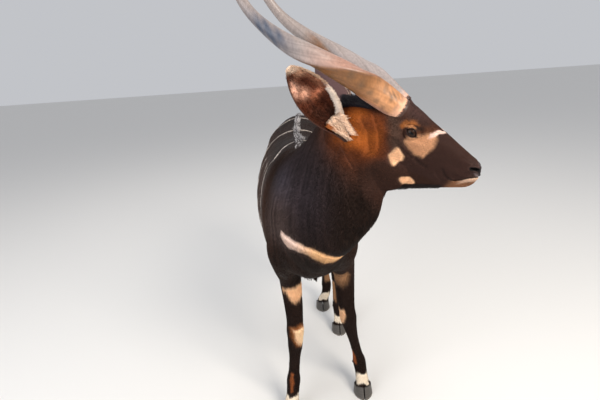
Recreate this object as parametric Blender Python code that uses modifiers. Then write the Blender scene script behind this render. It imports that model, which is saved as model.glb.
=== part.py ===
"""Bongo antelope, adult male, life size, standing with its head turned to its left.

Metres, +Z up. The animal faces -Y and its own left is +X. The flesh is modelled whole, from
lofted sections melted together, and is then parted with thin cuts into the pieces a person
would name. The origin is at the middle of the footprint of the whole animal, on the floor.
"""

import math

import bmesh
import bpy
import numpy as np
from mathutils import Matrix, Vector

# Driving sizes
GAP = 0.0003             # between pieces that touch
WITHERS = 1.240          # height of the back over the shoulders, without the crest
CROUP = 1.255            # height over the hips
BELLY = 0.570            # lowest line of the trunk
SOLE = 0.0               # floor under the hooves
KNEE = 0.438             # height of the knee's middle
FETLOCK = 0.150          # height of the fetlock's middle
CORONET = 0.050          # height of the hoof's upper rim, in the middle of the hoof
CORONET_SLOPE = 0.30     # the rim drops this much for each metre towards the heel
EYE_RADIUS = 0.0185
LID = 0.0040             # thickness of the eyelids
CREST_LENGTH = 0.055     # of the erect hair along the back
FLESH_VOXEL = 0.006      # grid on which the body's lofts melt together
HEAD_VOXEL = 0.0035
BODY_TRIANGLES = 4600
HEAD_TRIANGLES = 2500

# The head's own frame has x to the nose, y to its left and z up, from between the eyes
HEAD_AT = Vector((0.339, -0.740, 1.335))
HEAD_TURN = math.radians(75)     # from straight ahead to the animal's left
HEAD_DROP = math.radians(28)     # muzzle below level
HEAD_TILT = math.radians(4)      # right side lower

# Where each hoof stands, at the middle of its two claws, and the leg's joints above it
FORE_HOOVES = {"right": Vector((-0.124, -0.425, 0)), "left": Vector((0.221, -0.325, 0))}
HIND_HOOVES = {"right": Vector((0.082, 0.480, 0)), "left": Vector((0.161, 0.205, 0))}
HOOF_LENGTH = 0.100
CLAW_WIDTH = 0.043

COLOURS = {
    "coat": (0.045, 0.022, 0.014, 1),
    "neck_coat": (0.120, 0.045, 0.015, 1),
    "ear_skin": (0.130, 0.060, 0.040, 1),
    "horn": (0.420, 0.270, 0.180, 1),
    "hoof": (0.060, 0.060, 0.065, 1),
    "eye": (0.012, 0.008, 0.006, 1),
}


def start_collections():
    for thing in list(bpy.data.objects):
        bpy.data.objects.remove(thing, do_unlink=True)
    for name in ("bongo_antelope", "cutters"):
        if name not in bpy.data.collections:
            bpy.context.scene.collection.children.link(bpy.data.collections.new(name))
    return bpy.data.collections["bongo_antelope"], bpy.data.collections["cutters"]


PARTS, CUTTERS = start_collections()


def material(name, roughness=0.6):
    made = bpy.data.materials.get(name) or bpy.data.materials.new(name)
    made.use_nodes = True
    shader = made.node_tree.nodes["Principled BSDF"]
    shader.inputs["Base Color"].default_value = COLOURS[name]
    shader.inputs["Roughness"].default_value = roughness
    shader.inputs["Metallic"].default_value = 0.0
    made.diffuse_color = COLOURS[name]
    return made


# Shapes by section

def between(rows, count):
    """The rows of numbers with smooth curves between them, read at `count` even steps."""
    rows = np.array(rows, float)
    ends = np.vstack([2 * rows[0] - rows[1], rows, 2 * rows[-1] - rows[-2]])
    out = []
    for step in np.linspace(0, len(rows) - 1, count):
        i = min(int(step), len(rows) - 2)
        t = step - i
        a, b, c, d = ends[i:i + 4]
        out.append(0.5 * (2 * b + (c - a) * t + (2 * a - 5 * b + 4 * c - d) * t * t
                          + (3 * b - a - 3 * c + d) * t ** 3))
    return np.array(out)


def power(value, exponent):
    return math.copysign(abs(value) ** exponent, value)


def section(upper, lower, side, half_width, widest=0.5, round_up=2.0, round_down=2.0, count=32):
    """A closed rounded section from its upper and lower points; `widest` is the share of the
    height, from below, at which it is widest."""
    middle = lower + (upper - lower) * widest
    ring = []
    for k in range(count):
        turn = 2 * math.pi * k / count
        across, along = math.cos(turn), math.sin(turn)
        reach, grade = (upper - middle, round_up) if along >= 0 else (middle - lower, round_down)
        ring.append(middle + reach * power(along, 2 / grade)
                    + side * half_width * power(across, 2 / grade))
    return ring


def loft(rings, name="loft"):
    """One closed surface through rings of equal length."""
    shape = bmesh.new()
    loops = [[shape.verts.new(point) for point in ring] for ring in rings]
    count = len(rings[0])
    for first, second in zip(loops, loops[1:]):
        for k in range(count):
            n = (k + 1) % count
            shape.faces.new((first[k], first[n], second[n], second[k]))
    shape.faces.new(list(reversed(loops[0])))
    shape.faces.new(loops[-1])
    bmesh.ops.recalc_face_normals(shape, faces=shape.faces)
    if shape.calc_volume(signed=True) < 0:
        bmesh.ops.reverse_faces(shape, faces=shape.faces)
    mesh = bpy.data.meshes.new(name)
    shape.to_mesh(mesh)
    shape.free()
    return mesh


def body_loft(rows, count, widest=0.5, round_up=2.0, round_down=2.0, sides=32):
    """A loft from rows of: upper point, lower point, half width. Each section stands square
    to the line that joins their middles."""
    rows = between(rows, count)
    uppers = [Vector(row[0:3]) for row in rows]
    lowers = [Vector(row[3:6]) for row in rows]
    middles = [(a + b) / 2 for a, b in zip(uppers, lowers)]
    rings = []
    for i, row in enumerate(rows):
        along = middles[min(i + 1, count - 1)] - middles[max(i - 1, 0)]
        side = along.cross(uppers[i] - lowers[i]).normalized()
        rings.append(section(uppers[i], lowers[i], side, row[6], widest, round_up, round_down,
                             sides))
    return loft(rings)


def limb(joints, girths, count):
    """A limb along its joints, top to bottom. Each girth is: place along the joints, half
    width, reach in front and reach behind."""
    joints = [list(joint) for joint in joints]
    rings = []
    girths = between(girths, count)
    path = between(joints, 8 * (len(joints) - 1) + 1)

    def at(place):
        place = min(max(place, 0), len(joints) - 1) * 8
        i = min(int(place), len(path) - 2)
        return Vector(path[i] + (path[i + 1] - path[i]) * (place - i))

    for place, half, front, back in girths:
        middle = at(place)
        down = (at(place + 0.15) - at(place - 0.15)).normalized()
        side = Vector((1, 0, 0))
        side = (side - down * side.dot(down)).normalized()
        forward = side.cross(down)
        if forward.y > 0:
            forward = -forward
        rings.append(section(middle + forward * front, middle - forward * back, side, half))
    return loft(rings)


def keep(mesh, name):
    thing = bpy.data.objects.new(name, mesh)
    CUTTERS.objects.link(thing)
    return thing


def applied(thing):
    """The object's mesh with its modifiers worked in; the object goes."""
    graph = bpy.context.evaluated_depsgraph_get()
    mesh = bpy.data.meshes.new_from_object(thing.evaluated_get(graph))
    bpy.data.objects.remove(thing, do_unlink=True)
    return mesh


def joined(meshes):
    shape = bmesh.new()
    for mesh in meshes:
        shape.from_mesh(mesh)
    out = bpy.data.meshes.new("joined")
    shape.to_mesh(out)
    shape.free()
    return out


def melted(meshes, voxel, smooth, rounds):
    """The closed meshes melted into one skin on a grid, and smoothed."""
    thing = keep(joined(meshes), "melt")
    grid = thing.modifiers.new("grid", "REMESH")
    grid.mode = "VOXEL"
    grid.voxel_size = voxel
    soft = thing.modifiers.new("soft", "SMOOTH")
    soft.factor = smooth
    soft.iterations = rounds
    return applied(thing)


def swelled(mesh, swells):
    """Muscle, bone and hollows: each swell is a centre, a radius and a height, and pushes the
    skin along its own normal."""
    count = len(mesh.vertices)
    places = np.empty(count * 3)
    normals = np.empty(count * 3)
    mesh.vertices.foreach_get("co", places)
    mesh.vertex_normals.foreach_get("vector", normals)
    places = places.reshape(-1, 3)
    normals = normals.reshape(-1, 3)
    push = np.zeros(count)
    for centre, radius, height in swells:
        off = (places - np.array(centre)) / np.array(radius)
        push += height * np.exp(-(off ** 2).sum(axis=1))
    mesh.vertices.foreach_set("co", (places + normals * push[:, None]).ravel())
    mesh.update()
    return mesh


def thinned(mesh, triangles):
    thing = keep(mesh, "thin")
    fewer = thing.modifiers.new("fewer", "DECIMATE")
    fewer.ratio = triangles / sum(len(face.vertices) - 2 for face in mesh.polygons)
    fewer.use_collapse_triangulate = True
    return applied(thing)


def main_surface(shape):
    """The faces of the shape's largest surface."""
    left = set(shape.faces)
    best, best_size = [], -1
    while left:
        seed = left.pop()
        group, front = [seed], [seed]
        while front:
            for edge in front.pop().edges:
                for other in edge.link_faces:
                    if other in left:
                        left.remove(other)
                        group.append(other)
                        front.append(other)
        points = np.array([vert.co for face in group for vert in face.verts])
        size = np.linalg.norm(points.max(axis=0) - points.min(axis=0))
        if size > best_size:
            best, best_size = group, size
    return set(best)


def part_shared_diagonals(shape):
    """Two faces with many sides may both be halved between the same two corners. One of them
    gets a point of its own there, so that every edge keeps to two triangles."""
    shape.verts.index_update()
    shape.verts.ensure_lookup_table()
    trial = shape.copy()
    bmesh.ops.triangulate(trial, faces=trial.faces)
    pairs = [[shape.verts[vert.index] for vert in edge.verts] for edge in trial.edges
             if len(edge.link_faces) > 2]
    trial.free()
    for first, second in pairs:
        for face in first.link_faces:
            if second in face.verts and not any(second in edge.verts for edge in first.link_edges):
                line = second.co - first.co
                middle = first.co + line / 2 + face.normal.cross(line) * 0.01
                bmesh.utils.face_split(face, first, second, coords=[middle], use_exist=False)
                break


def closed_surface(mesh, merge):
    """The largest surface, in triangles, with points nearer than `merge` made one; or None
    where that leaves it open."""
    shape = bmesh.new()
    shape.from_mesh(mesh)
    if merge:
        bmesh.ops.remove_doubles(shape, verts=shape.verts, dist=merge)
        bmesh.ops.dissolve_degenerate(shape, edges=shape.edges, dist=merge)
    kept = main_surface(shape)
    bmesh.ops.delete(shape, geom=[f for f in shape.faces if f not in kept], context="FACES")
    for _ in range(3):
        part_shared_diagonals(shape)
    bmesh.ops.triangulate(shape, faces=shape.faces)
    closed = all(len(edge.link_faces) == 2 for edge in shape.edges)
    if closed:
        shape.to_mesh(mesh)
    shape.free()
    return mesh if closed else None


def largest(mesh):
    """Only the largest surface of a mesh. Its slivers are merged as far as it stays closed."""
    for merge in (0.00005, 0.00002, 0.00001, 0.000003, 0.000001, 0):
        if closed_surface(mesh, merge):
            return mesh
    raise ValueError("open surface in " + mesh.name)


def cut(mesh, tools, operation, solver="EXACT"):
    """The mesh after one Boolean with all the tools."""
    group = bpy.data.collections.new("tools")
    bpy.context.scene.collection.children.link(group)
    for tool in tools:
        thing = bpy.data.objects.new("tool", tool)
        group.objects.link(thing)
    thing = keep(mesh, "cut")
    knife = thing.modifiers.new("knife", "BOOLEAN")
    knife.operation = operation
    knife.solver = solver
    knife.operand_type = "COLLECTION"
    knife.collection = group
    if solver == "EXACT":
        knife.use_self = operation == "UNION"
    out = applied(thing)
    for tool in list(group.objects):
        bpy.data.objects.remove(tool, do_unlink=True)
    bpy.data.collections.remove(group)
    return out


def moved(mesh, matrix):
    mesh = mesh.copy()
    mesh.transform(matrix)
    return mesh


def facing(point, normal):
    """A matrix with its z along the normal, at the point."""
    turn = Vector(normal).normalized().to_track_quat("Z", "Y")
    return Matrix.LocRotScale(Vector(point), turn, None)


def slab(point, normal, size=1.2, depth=1.2):
    """A block behind the point, across the normal, that takes half of the gap with it."""
    shape = bmesh.new()
    bmesh.ops.create_cube(shape, size=1)
    bmesh.ops.scale(shape, vec=(size, size, depth), verts=shape.verts)
    bmesh.ops.translate(shape, vec=(0, 0, (GAP - depth) / 2), verts=shape.verts)
    mesh = bpy.data.meshes.new("slab")
    shape.to_mesh(mesh)
    shape.free()
    mesh.transform(facing(point, normal))
    return mesh


def node(mesh, name, finish, roughness=0.6, smooth=True):
    """The piece as it is handed over."""
    mesh.name = name
    mesh = largest(mesh)
    mesh.materials.clear()
    mesh.materials.append(material(finish, roughness))
    if smooth:
        mesh.shade_smooth()
        mesh.set_sharp_from_angle(angle=math.radians(50))
    thing = bpy.data.objects.new(name, mesh)
    PARTS.objects.link(thing)
    return thing


# Trunk and neck

# Along the back: y, height of the back, height of the belly, half width, sideways bend
TRUNK_ROWS = [
    (-0.600, WITHERS - 0.290, BELLY + 0.245, 0.060, 0.020),
    (-0.570, WITHERS - 0.200, BELLY + 0.195, 0.115, 0.018),
    (-0.480, WITHERS - 0.080, BELLY + 0.152, 0.165, 0.014),
    (-0.330, WITHERS - 0.008, BELLY + 0.105, 0.192, 0.008),
    (-0.160, WITHERS - 0.010, BELLY + 0.045, 0.206, 0.000),
    (0.050, WITHERS - 0.030, BELLY, 0.226, -0.010),
    (0.250, WITHERS - 0.018, BELLY + 0.012, 0.234, -0.010),
    (0.420, CROUP - 0.010, BELLY + 0.080, 0.214, 0.000),
    (0.580, CROUP - 0.004, BELLY + 0.180, 0.186, 0.012),
    (0.700, CROUP - 0.050, BELLY + 0.290, 0.140, 0.020),
    (0.765, CROUP - 0.130, BELLY + 0.400, 0.070, 0.026),
]
# From the shoulders to the head: nape point, throat point, half width
NECK_ROWS = [
    (0.005, -0.200, 1.190, 0.005, -0.420, 0.680, 0.160),
    (0.004, -0.330, 1.222, 0.030, -0.590, 0.790, 0.160),
    (0.030, -0.440, 1.255, 0.090, -0.680, 0.880, 0.132),
    (0.072, -0.530, 1.330, 0.160, -0.725, 0.965, 0.108),
    (0.125, -0.620, 1.415, 0.226, -0.735, 1.045, 0.086),
    (0.190, -0.680, 1.440, 0.256, -0.722, 1.120, 0.068),
    (0.245, -0.710, 1.410, 0.285, -0.725, 1.170, 0.050),
]


def trunk_loft():
    rows = [(bend, y, top, bend, y, low, half) for y, top, low, half, bend in TRUNK_ROWS]
    return body_loft(rows, 44, widest=0.46, round_up=2.05, round_down=2.1)


def neck_loft():
    return body_loft(NECK_ROWS, 30, widest=0.48, round_up=1.9, round_down=1.9)


def blob(centre, radii):
    """A rounded mass of flesh."""
    return moved(ball(Vector(), 1), Matrix.LocRotScale(Vector(centre), None, Vector(radii)))


# What fills the space between the upper arm and the chest: centre, radii
ARMPITS = [
    ((-0.085, -0.330, 0.800), (0.070, 0.150, 0.125)),
    ((0.105, -0.310, 0.800), (0.080, 0.150, 0.125)),
]

# Legs

FORE_GIRTHS = [
    (0.0, 0.020, 0.060, 0.060),
    (0.2, 0.048, 0.095, 0.110),
    (0.5, 0.056, 0.100, 0.115),
    (1.0, 0.052, 0.070, 0.084),
    (1.35, 0.047, 0.054, 0.058),
    (1.70, 0.041, 0.040, 0.042),
    (1.90, 0.038, 0.036, 0.036),
    (2.00, 0.0400, 0.036, 0.040),
    (2.10, 0.039, 0.034, 0.040),
    (2.25, 0.032, 0.027, 0.034),
    (2.50, 0.0250, 0.022, 0.031),
    (2.80, 0.025, 0.022, 0.032),
    (3.00, 0.0325, 0.029, 0.036),
    (3.25, 0.031, 0.027, 0.031),
    (3.60, 0.031, 0.029, 0.029),
    (3.90, 0.039, 0.040, 0.036),
    (4.00, 0.040, 0.042, 0.038),
]
HIND_GIRTHS = [
    (0.0, 0.070, 0.100, 0.120),
    (0.5, 0.080, 0.120, 0.130),
    (1.0, 0.066, 0.085, 0.110),
    (1.4, 0.050, 0.055, 0.072),
    (1.75, 0.036, 0.038, 0.050),
    (1.92, 0.036, 0.038, 0.050),
    (2.05, 0.036, 0.038, 0.044),
    (2.20, 0.029, 0.030, 0.038),
    (2.50, 0.0235, 0.023, 0.032),
    (2.80, 0.0255, 0.024, 0.033),
    (3.00, 0.032, 0.029, 0.036),
    (3.25, 0.030, 0.027, 0.031),
    (3.60, 0.030, 0.028, 0.029),
    (3.90, 0.037, 0.039, 0.036),
    (4.00, 0.038, 0.041, 0.038),
]
FORE_JOINTS = {
    "right": [(-0.108, -0.430, 0.880), (-0.090, -0.330, 0.690), (-0.080, -0.388, KNEE),
              (-0.107, -0.372, FETLOCK)],
    "left": [(0.125, -0.410, 0.880), (0.152, -0.285, 0.690), (0.161, -0.318, KNEE),
             (0.212, -0.272, FETLOCK)],
}
HIND_JOINTS = {
    "right": [(-0.095, 0.500, 0.950), (-0.070, 0.360, 0.740), (0.075, 0.610, 0.485),
              (0.116, 0.545, FETLOCK)],
    "left": [(0.110, 0.480, 0.950), (0.150, 0.265, 0.770), (0.158, 0.425, 0.480),
             (0.163, 0.268, FETLOCK)],
}
# The flat masses over the joints: height, front, back, half width
THIGH_ROWS = [
    (1.150, 0.460, 0.640, 0.020),
    (1.110, 0.405, 0.700, 0.065),
    (1.000, 0.335, 0.775, 0.098),
    (0.860, 0.265, 0.775, 0.098),
    (0.740, 0.262, 0.720, 0.076),
    (0.650, 0.335, 0.690, 0.050),
    (0.580, 0.430, 0.668, 0.032),
    (0.530, 0.530, 0.655, 0.018),
]
SHOULDER_ROWS = [
    (1.130, -0.330, -0.210, 0.015),
    (1.060, -0.400, -0.190, 0.034),
    (0.940, -0.490, -0.190, 0.044),
    (0.840, -0.540, -0.190, 0.048),
    (0.760, -0.510, -0.215, 0.046),
    (0.690, -0.430, -0.245, 0.042),
    (0.640, -0.390, -0.270, 0.030),
]


def leg_joints(joints, hoof):
    """The joints down to the coronet, which stands a little behind the hoof's middle."""
    return joints + [(hoof.x, hoof.y + 0.012, CORONET - 0.012)]


def thigh(side):
    """The flat mass from the hip to the hock, swung forward with the leg."""
    heights = [1.0, 0.740, 0.485, 0.400]
    offs = [np.array(own[:2]) - np.array(other[:2])
            for own, other in zip(HIND_JOINTS[side], HIND_JOINTS["right"])]
    centres = [np.array(joint[:2]) for joint in HIND_JOINTS[side]]
    rows = []
    for z, front, back, half in THIGH_ROWS:
        x = np.interp(-z, [-h for h in heights], [c[0] for c in centres])
        swing = np.interp(-z, [-h for h in heights], [o[1] for o in offs])
        rows.append((x, front + swing, z, x, back + swing, z, half))
    return body_loft(rows, 22, round_up=2.3, round_down=2.3)


def shoulder(side):
    """The blade and upper arm, flat against the ribs."""
    hand = 1 if side == "left" else -1
    shift = FORE_JOINTS[side][1][1] - FORE_JOINTS["right"][1][1]
    rows = []
    for z, front, back, half in SHOULDER_ROWS:
        x = hand * np.interp(z, [0.64, 0.84, 1.13], [0.098, 0.118, 0.122])
        if side == "left":
            x += np.interp(z, [0.64, 0.84, 1.13], [0.030, 0.036, 0.020])
        reach = shift * np.interp(z, [0.64, 1.0], [1.0, 0.0])
        rows.append((x, front + reach, z, x, back + reach, z, half))
    return body_loft(rows, 20, round_up=2.2, round_down=2.2)


def heel_cord(side):
    """The cord from the back of the thigh down to the point of the hock."""
    stifle, hock = Vector(HIND_JOINTS[side][1]), Vector(HIND_JOINTS[side][2])
    top = stifle.lerp(hock, 0.35) + Vector((0, 0.075, 0.020))
    point = hock + Vector((0, 0.052, 0.052))
    foot = hock + Vector((0, 0.030, -0.030))
    rows = []
    for middle, half, deep in ((top, 0.020, 0.034), (top.lerp(point, 0.6), 0.0125, 0.016),
                               (point, 0.0165, 0.020), (foot, 0.018, 0.020)):
        across = Vector((0, deep * 0.8, deep * 0.5))
        rows.append((*(middle - across), *(middle + across), half))
    return body_loft(rows, 12)


# Sheath and scrotum of the male, under the belly

def sheath():
    rows = [
        (0.000, 0.220, 0.640, 0.000, 0.200, 0.578, 0.040),
        (0.008, 0.080, 0.620, 0.012, 0.070, 0.540, 0.037),
        (0.020, -0.005, 0.600, 0.028, -0.028, 0.482, 0.027),
        (0.030, -0.035, 0.550, 0.040, -0.052, 0.452, 0.013),
    ]
    return body_loft(rows, 14)


def scrotum():
    rows = [
        (0.040, 0.420, 0.760, 0.040, 0.530, 0.780, 0.030),
        (0.042, 0.420, 0.700, 0.042, 0.520, 0.705, 0.030),
        (0.043, 0.430, 0.655, 0.043, 0.510, 0.655, 0.030),
        (0.044, 0.450, 0.625, 0.044, 0.490, 0.625, 0.018),
    ]
    return body_loft(rows, 12)


# Tail

TAIL_ROWS = [
    (0.020, 0.690, 1.225, 0.020, 0.680, 1.130, 0.036),
    (0.024, 0.765, 1.175, 0.024, 0.735, 1.110, 0.034),
    (0.028, 0.830, 1.090, 0.028, 0.785, 1.065, 0.024),
    (0.030, 0.850, 0.980, 0.030, 0.812, 0.965, 0.018),
    (0.030, 0.850, 0.850, 0.030, 0.820, 0.845, 0.014),
    (0.030, 0.845, 0.740, 0.030, 0.822, 0.740, 0.010),
]


def tail_loft():
    return body_loft(TAIL_ROWS, 18, sides=12)


# Head, in its own frame

# From the back of the skull to the nose: x, top, bottom, half width of the top, height of the
# widest place, half width there, height of the jaw's side, half width there
HEAD_ROWS = [
    (-0.250, -0.055, -0.115, 0.008, -0.085, 0.014, -0.100, 0.010),
    (-0.238, -0.030, -0.145, 0.018, -0.083, 0.036, -0.120, 0.028),
    (-0.215, -0.008, -0.175, 0.028, -0.080, 0.054, -0.138, 0.042),
    (-0.185, 0.007, -0.195, 0.034, -0.080, 0.066, -0.150, 0.052),
    (-0.140, 0.018, -0.226, 0.040, -0.075, 0.072, -0.155, 0.056),
    (-0.090, 0.042, -0.234, 0.050, -0.055, 0.073, -0.155, 0.057),
    (-0.045, 0.063, -0.232, 0.054, -0.030, 0.072, -0.150, 0.054),
    (0.000, 0.057, -0.218, 0.048, -0.030, 0.067, -0.140, 0.047),
    (0.050, 0.043, -0.196, 0.037, -0.030, 0.056, -0.126, 0.039),
    (0.100, 0.032, -0.170, 0.029, -0.032, 0.045, -0.110, 0.032),
    (0.150, 0.018, -0.143, 0.025, -0.036, 0.038, -0.098, 0.028),
    (0.190, 0.007, -0.119, 0.025, -0.040, 0.036, -0.090, 0.027),
    (0.220, -0.002, -0.100, 0.026, -0.042, 0.035, -0.080, 0.025),
    (0.238, -0.012, -0.086, 0.020, -0.044, 0.028, -0.072, 0.018),
    (0.249, -0.028, -0.068, 0.008, -0.046, 0.012, -0.060, 0.008),
]
# Centre in the head's frame, radius, height; the pairs are made on both sides
HEAD_SWELLS = [
    ((-0.002, 0.070, 0.026), (0.026, 0.020, 0.014), 0.0090),
    ((0.030, 0.066, -0.022), (0.030, 0.020, 0.012), 0.0045),
    ((-0.050, 0.074, -0.030), (0.050, 0.020, 0.014), 0.0060),
    ((0.055, 0.052, 0.004), (0.032, 0.018, 0.020), -0.0045),
    ((-0.070, 0.066, -0.120), (0.055, 0.030, 0.045), 0.0090),
    ((0.060, 0.048, -0.075), (0.045, 0.020, 0.026), -0.0040),
    ((0.224, 0.026, -0.020), (0.020, 0.016, 0.018), 0.0060),
    ((0.205, 0.034, -0.058), (0.036, 0.014, 0.012), 0.0040),
    ((0.205, 0.028, -0.090), (0.030, 0.016, 0.012), 0.0030),
    ((-0.115, 0.050, 0.036), (0.040, 0.020, 0.020), -0.0050),
]
JOWL = (Vector((-0.040, 0.028, -0.150)), Vector((0.105, 0.044, 0.078)))   # centre, radii
MOUTH_LINE = [(0.262, -0.050), (0.236, -0.055), (0.212, -0.068), (0.185, -0.080), (0.150, -0.086)]
NOSTRIL = Vector((0.236, 0.021, -0.022))
EAR_ROOT = Vector((-0.168, 0.070, -0.090))
EAR_TIP = Vector((-0.392, 0.165, 0.034))
EAR_FACE = Vector((0.250, 1.000, 0.150))


def head_matrix():
    """The head's frame in the animal's."""
    turn = Matrix.Rotation(-math.pi / 2 + HEAD_TURN, 3, "Z")
    drop = Matrix.Rotation(HEAD_DROP, 3, "Y")
    tilt = Matrix.Rotation(HEAD_TILT, 3, "X")
    return Matrix.Translation(HEAD_AT) @ (turn @ drop @ tilt).to_4x4()


HEAD = head_matrix()


def both(point, side):
    """A point or vector of the head's left, on the given side."""
    return Vector((point[0], point[1] * (1 if side == "left" else -1), point[2]))


def head_loft():
    rings = []
    for x, top, low, flat, wide_z, wide, jaw_z, jaw in between(HEAD_ROWS, 40):
        half = [(0.0, top), (flat * 0.6, top - 0.0015), (flat, top - 0.006),
                (wide * 0.97, (top + wide_z) / 2 + 0.004), (wide, wide_z),
                ((wide + jaw) / 2 + 0.002, (wide_z + jaw_z) / 2), (jaw, jaw_z),
                (jaw * 0.62, (jaw_z + low) / 2 - 0.006), (0.0, low)]
        outline = half + [(-y, z) for y, z in reversed(half[1:-1])]
        ring = between(outline + [outline[0]], 41)[:-1]
        rings.append([Vector((x, y, z)) for y, z in ring])
    return loft(rings)


def ball(centre, radius, segments=18, rings=12):
    shape = bmesh.new()
    bmesh.ops.create_uvsphere(shape, u_segments=segments, v_segments=rings, radius=radius)
    bmesh.ops.translate(shape, vec=centre, verts=shape.verts)
    mesh = bpy.data.meshes.new("ball")
    shape.to_mesh(mesh)
    shape.free()
    return mesh


EYE_AT = Vector((0.000, 0.0600, 0.000))
EYE_OPEN = (0.0165, 0.0118)      # half length and half height of the opening
EYE_SLANT = math.radians(-8)     # its front corner is lower


def eye_opening(side):
    """The almond between the lids, as a cutter that runs outwards."""
    long_half, high_half = EYE_OPEN
    steps = 9
    outline = []
    for k in range(steps):
        t = -1 + 2 * k / steps
        outline.append((long_half * t, high_half * (1 - abs(t) ** 2.2)))
    for k in range(steps):
        t = 1 - 2 * k / steps
        outline.append((long_half * t, -high_half * 0.8 * (1 - abs(t) ** 2.2)))
    rings = []
    for out, grow in ((0.002, 0.97), (0.013, 1.0), (0.040, 1.45)):
        ring = []
        for x, z in outline:
            turned = Vector((x * math.cos(EYE_SLANT) - z * math.sin(EYE_SLANT), out,
                             x * math.sin(EYE_SLANT) + z * math.cos(EYE_SLANT)))
            turned.x *= grow
            turned.z *= grow
            ring.append(both(EYE_AT + turned, side))
        rings.append(ring)
    return loft(rings)


def mouth_slot():
    """The gap between the lips, bent upwards inside so that it can't be seen through."""
    half_gap, reach = 0.0011, 0.060
    rings = []
    for x, z in between(MOUTH_LINE, 14):
        ring = []
        for share in (-1, -0.35, 0.35, 1):
            ring.append(Vector((x, reach * share, z + half_gap + 0.008 * (1 - abs(share)))))
        for share in (1, 0.35, -0.35, -1):
            ring.append(Vector((x, reach * share, z - half_gap + 0.008 * (1 - abs(share)))))
        rings.append(ring)
    return loft(rings)


def nostril_hole(side):
    """A comma that opens forward and outward and runs back along the nose."""
    path = [(0.010, 0.004, 0.003, 0.0052), (0.000, 0.001, 0.000, 0.0050),
            (-0.010, 0.004, 0.005, 0.0034), (-0.019, 0.010, 0.010, 0.0014)]
    rings = []
    for x, y, z, r in between(path, 9):
        middle = NOSTRIL + Vector((x, y, z))
        ring = []
        for k in range(8):
            turn = 2 * math.pi * k / 8
            ring.append(both(middle + Vector((0, r * 1.5 * math.cos(turn),
                                              r * math.sin(turn))), side))
        rings.append(ring)
    return loft(rings)


# Horns, in the head's frame: x, y, z of the left horn's middle line
HORN_LINE = [
    (-0.052, 0.041, 0.038), (-0.130, 0.062, 0.055), (-0.220, 0.096, 0.073),
    (-0.330, 0.126, 0.084), (-0.440, 0.140, 0.090), (-0.550, 0.132, 0.115),
    (-0.640, 0.116, 0.168), (-0.714, 0.108, 0.236), (-0.764, 0.114, 0.318),
]
HORN_WIDTHS = [0.0325, 0.0360, 0.0375, 0.0310, 0.0220, 0.0165, 0.0125, 0.0085, 0.0025]
HORN_SIDES = 12
HORN_TWIST = math.radians(310)
HORN_KEEL_START = math.radians(25)   # the front keel leaves the skull this far outwards of the top


def horn_sections(side, rings_count=22):
    """Keeled sections that turn once round along the horn."""
    line = between(HORN_LINE, rings_count)
    widths = between([[w] for w in HORN_WIDTHS], rings_count)[:, 0]
    hand = 1 if side == "left" else -1
    rings = []
    up = Vector((0, 0, 1))
    for i, (place, half) in enumerate(zip(line, widths)):
        ahead = Vector(line[min(i + 1, rings_count - 1)]) - Vector(line[max(i - 1, 0)])
        ahead.normalize()
        up = (up - ahead * up.dot(ahead)).normalized()
        out = ahead.cross(up)
        share = i / (rings_count - 1)
        turn = HORN_TWIST * share
        keel = 0.30 * math.sin(math.pi * min(share * 1.25 + 0.12, 1)) + 0.02
        ring = []
        for k in range(HORN_SIDES):
            angle = 2 * math.pi * k / HORN_SIDES
            grow = 1 - keel * 0.35 + keel * math.exp(-((angle - math.pi) / 0.42) ** 2)
            grow += keel * 0.5 * math.exp(-(min(angle, 2 * math.pi - angle) / 0.5) ** 2)
            a = angle - math.pi + HORN_KEEL_START + turn
            offset = up * math.cos(a) * half * grow * 1.02 + out * math.sin(a) * half * grow * 0.9
            point = Vector(place) + offset
            ring.append(Vector((point.x, point.y * hand, point.z)))
        rings.append(ring)
    return rings


# Ears, in the head's frame
# Along the ear: share of its length, radius of the cup, half angle of its arc, depth behind
EAR_ROWS = [
    (-0.10, 0.020, 150, 0.020),
    (0.00, 0.024, 146, 0.024),
    (0.10, 0.030, 122, 0.030),
    (0.22, 0.041, 98, 0.036),
    (0.36, 0.053, 80, 0.037),
    (0.50, 0.060, 70, 0.033),
    (0.65, 0.060, 63, 0.026),
    (0.80, 0.051, 56, 0.017),
    (0.92, 0.034, 48, 0.008),
    (1.00, 0.012, 40, 0.001),
]


def ear_frame(side):
    axis = (EAR_TIP - EAR_ROOT)
    length = axis.length
    axis = axis.normalized()
    face = (EAR_FACE - axis * EAR_FACE.dot(axis)).normalized()
    wide = face.cross(axis).normalized()
    if wide.z < 0:
        wide = -wide
    return both(EAR_ROOT, side), both(axis, side), both(face, side), both(wide, side), length


def ear_loft(side, steps=8, stations=14):
    """A cup of hollow sections, nearly closed at the root and flat at the tip."""
    root, axis, face, wide, length = ear_frame(side)
    rings = []
    for share, radius, arc, deep in between(EAR_ROWS, stations):
        arc = math.radians(arc)
        wall = min(0.0052, radius * 0.35)
        centre = root + axis * (share * length) + face * (radius - deep)
        turns = [-arc + 2 * arc * k / steps for k in range(steps + 1)]
        outer = [centre + wide * radius * math.sin(t) - face * radius * math.cos(t)
                 for t in turns]
        thin = [wall * (1 - 0.62 * abs(t / arc) ** 3) for t in turns]
        inner = [centre + wide * (radius - w) * math.sin(t) - face * (radius - w) * math.cos(t)
                 for t, w in zip(turns, thin)]
        rings.append(outer + list(reversed(inner)))
    return loft(rings)


def ear_stem(side, girths):
    """A round stem on the ear's axis: shares of its length and radii."""
    root, axis, face, wide, length = ear_frame(side)
    rings = []
    for share, half in girths:
        middle = root + axis * (share * length)
        rings.append([middle + wide * half * math.cos(2 * math.pi * k / 16)
                      + face * half * math.sin(2 * math.pi * k / 16) for k in range(16)])
    return loft(rings)


def whole_ear(side):
    """The cup with the plug that closes its bottom."""
    plug = ear_stem(side, ((-0.09, 0.014), (-0.07, 0.018), (0.00, 0.020), (0.05, 0.014)))
    return largest(cut(ear_loft(side), [plug], "UNION"))


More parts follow.
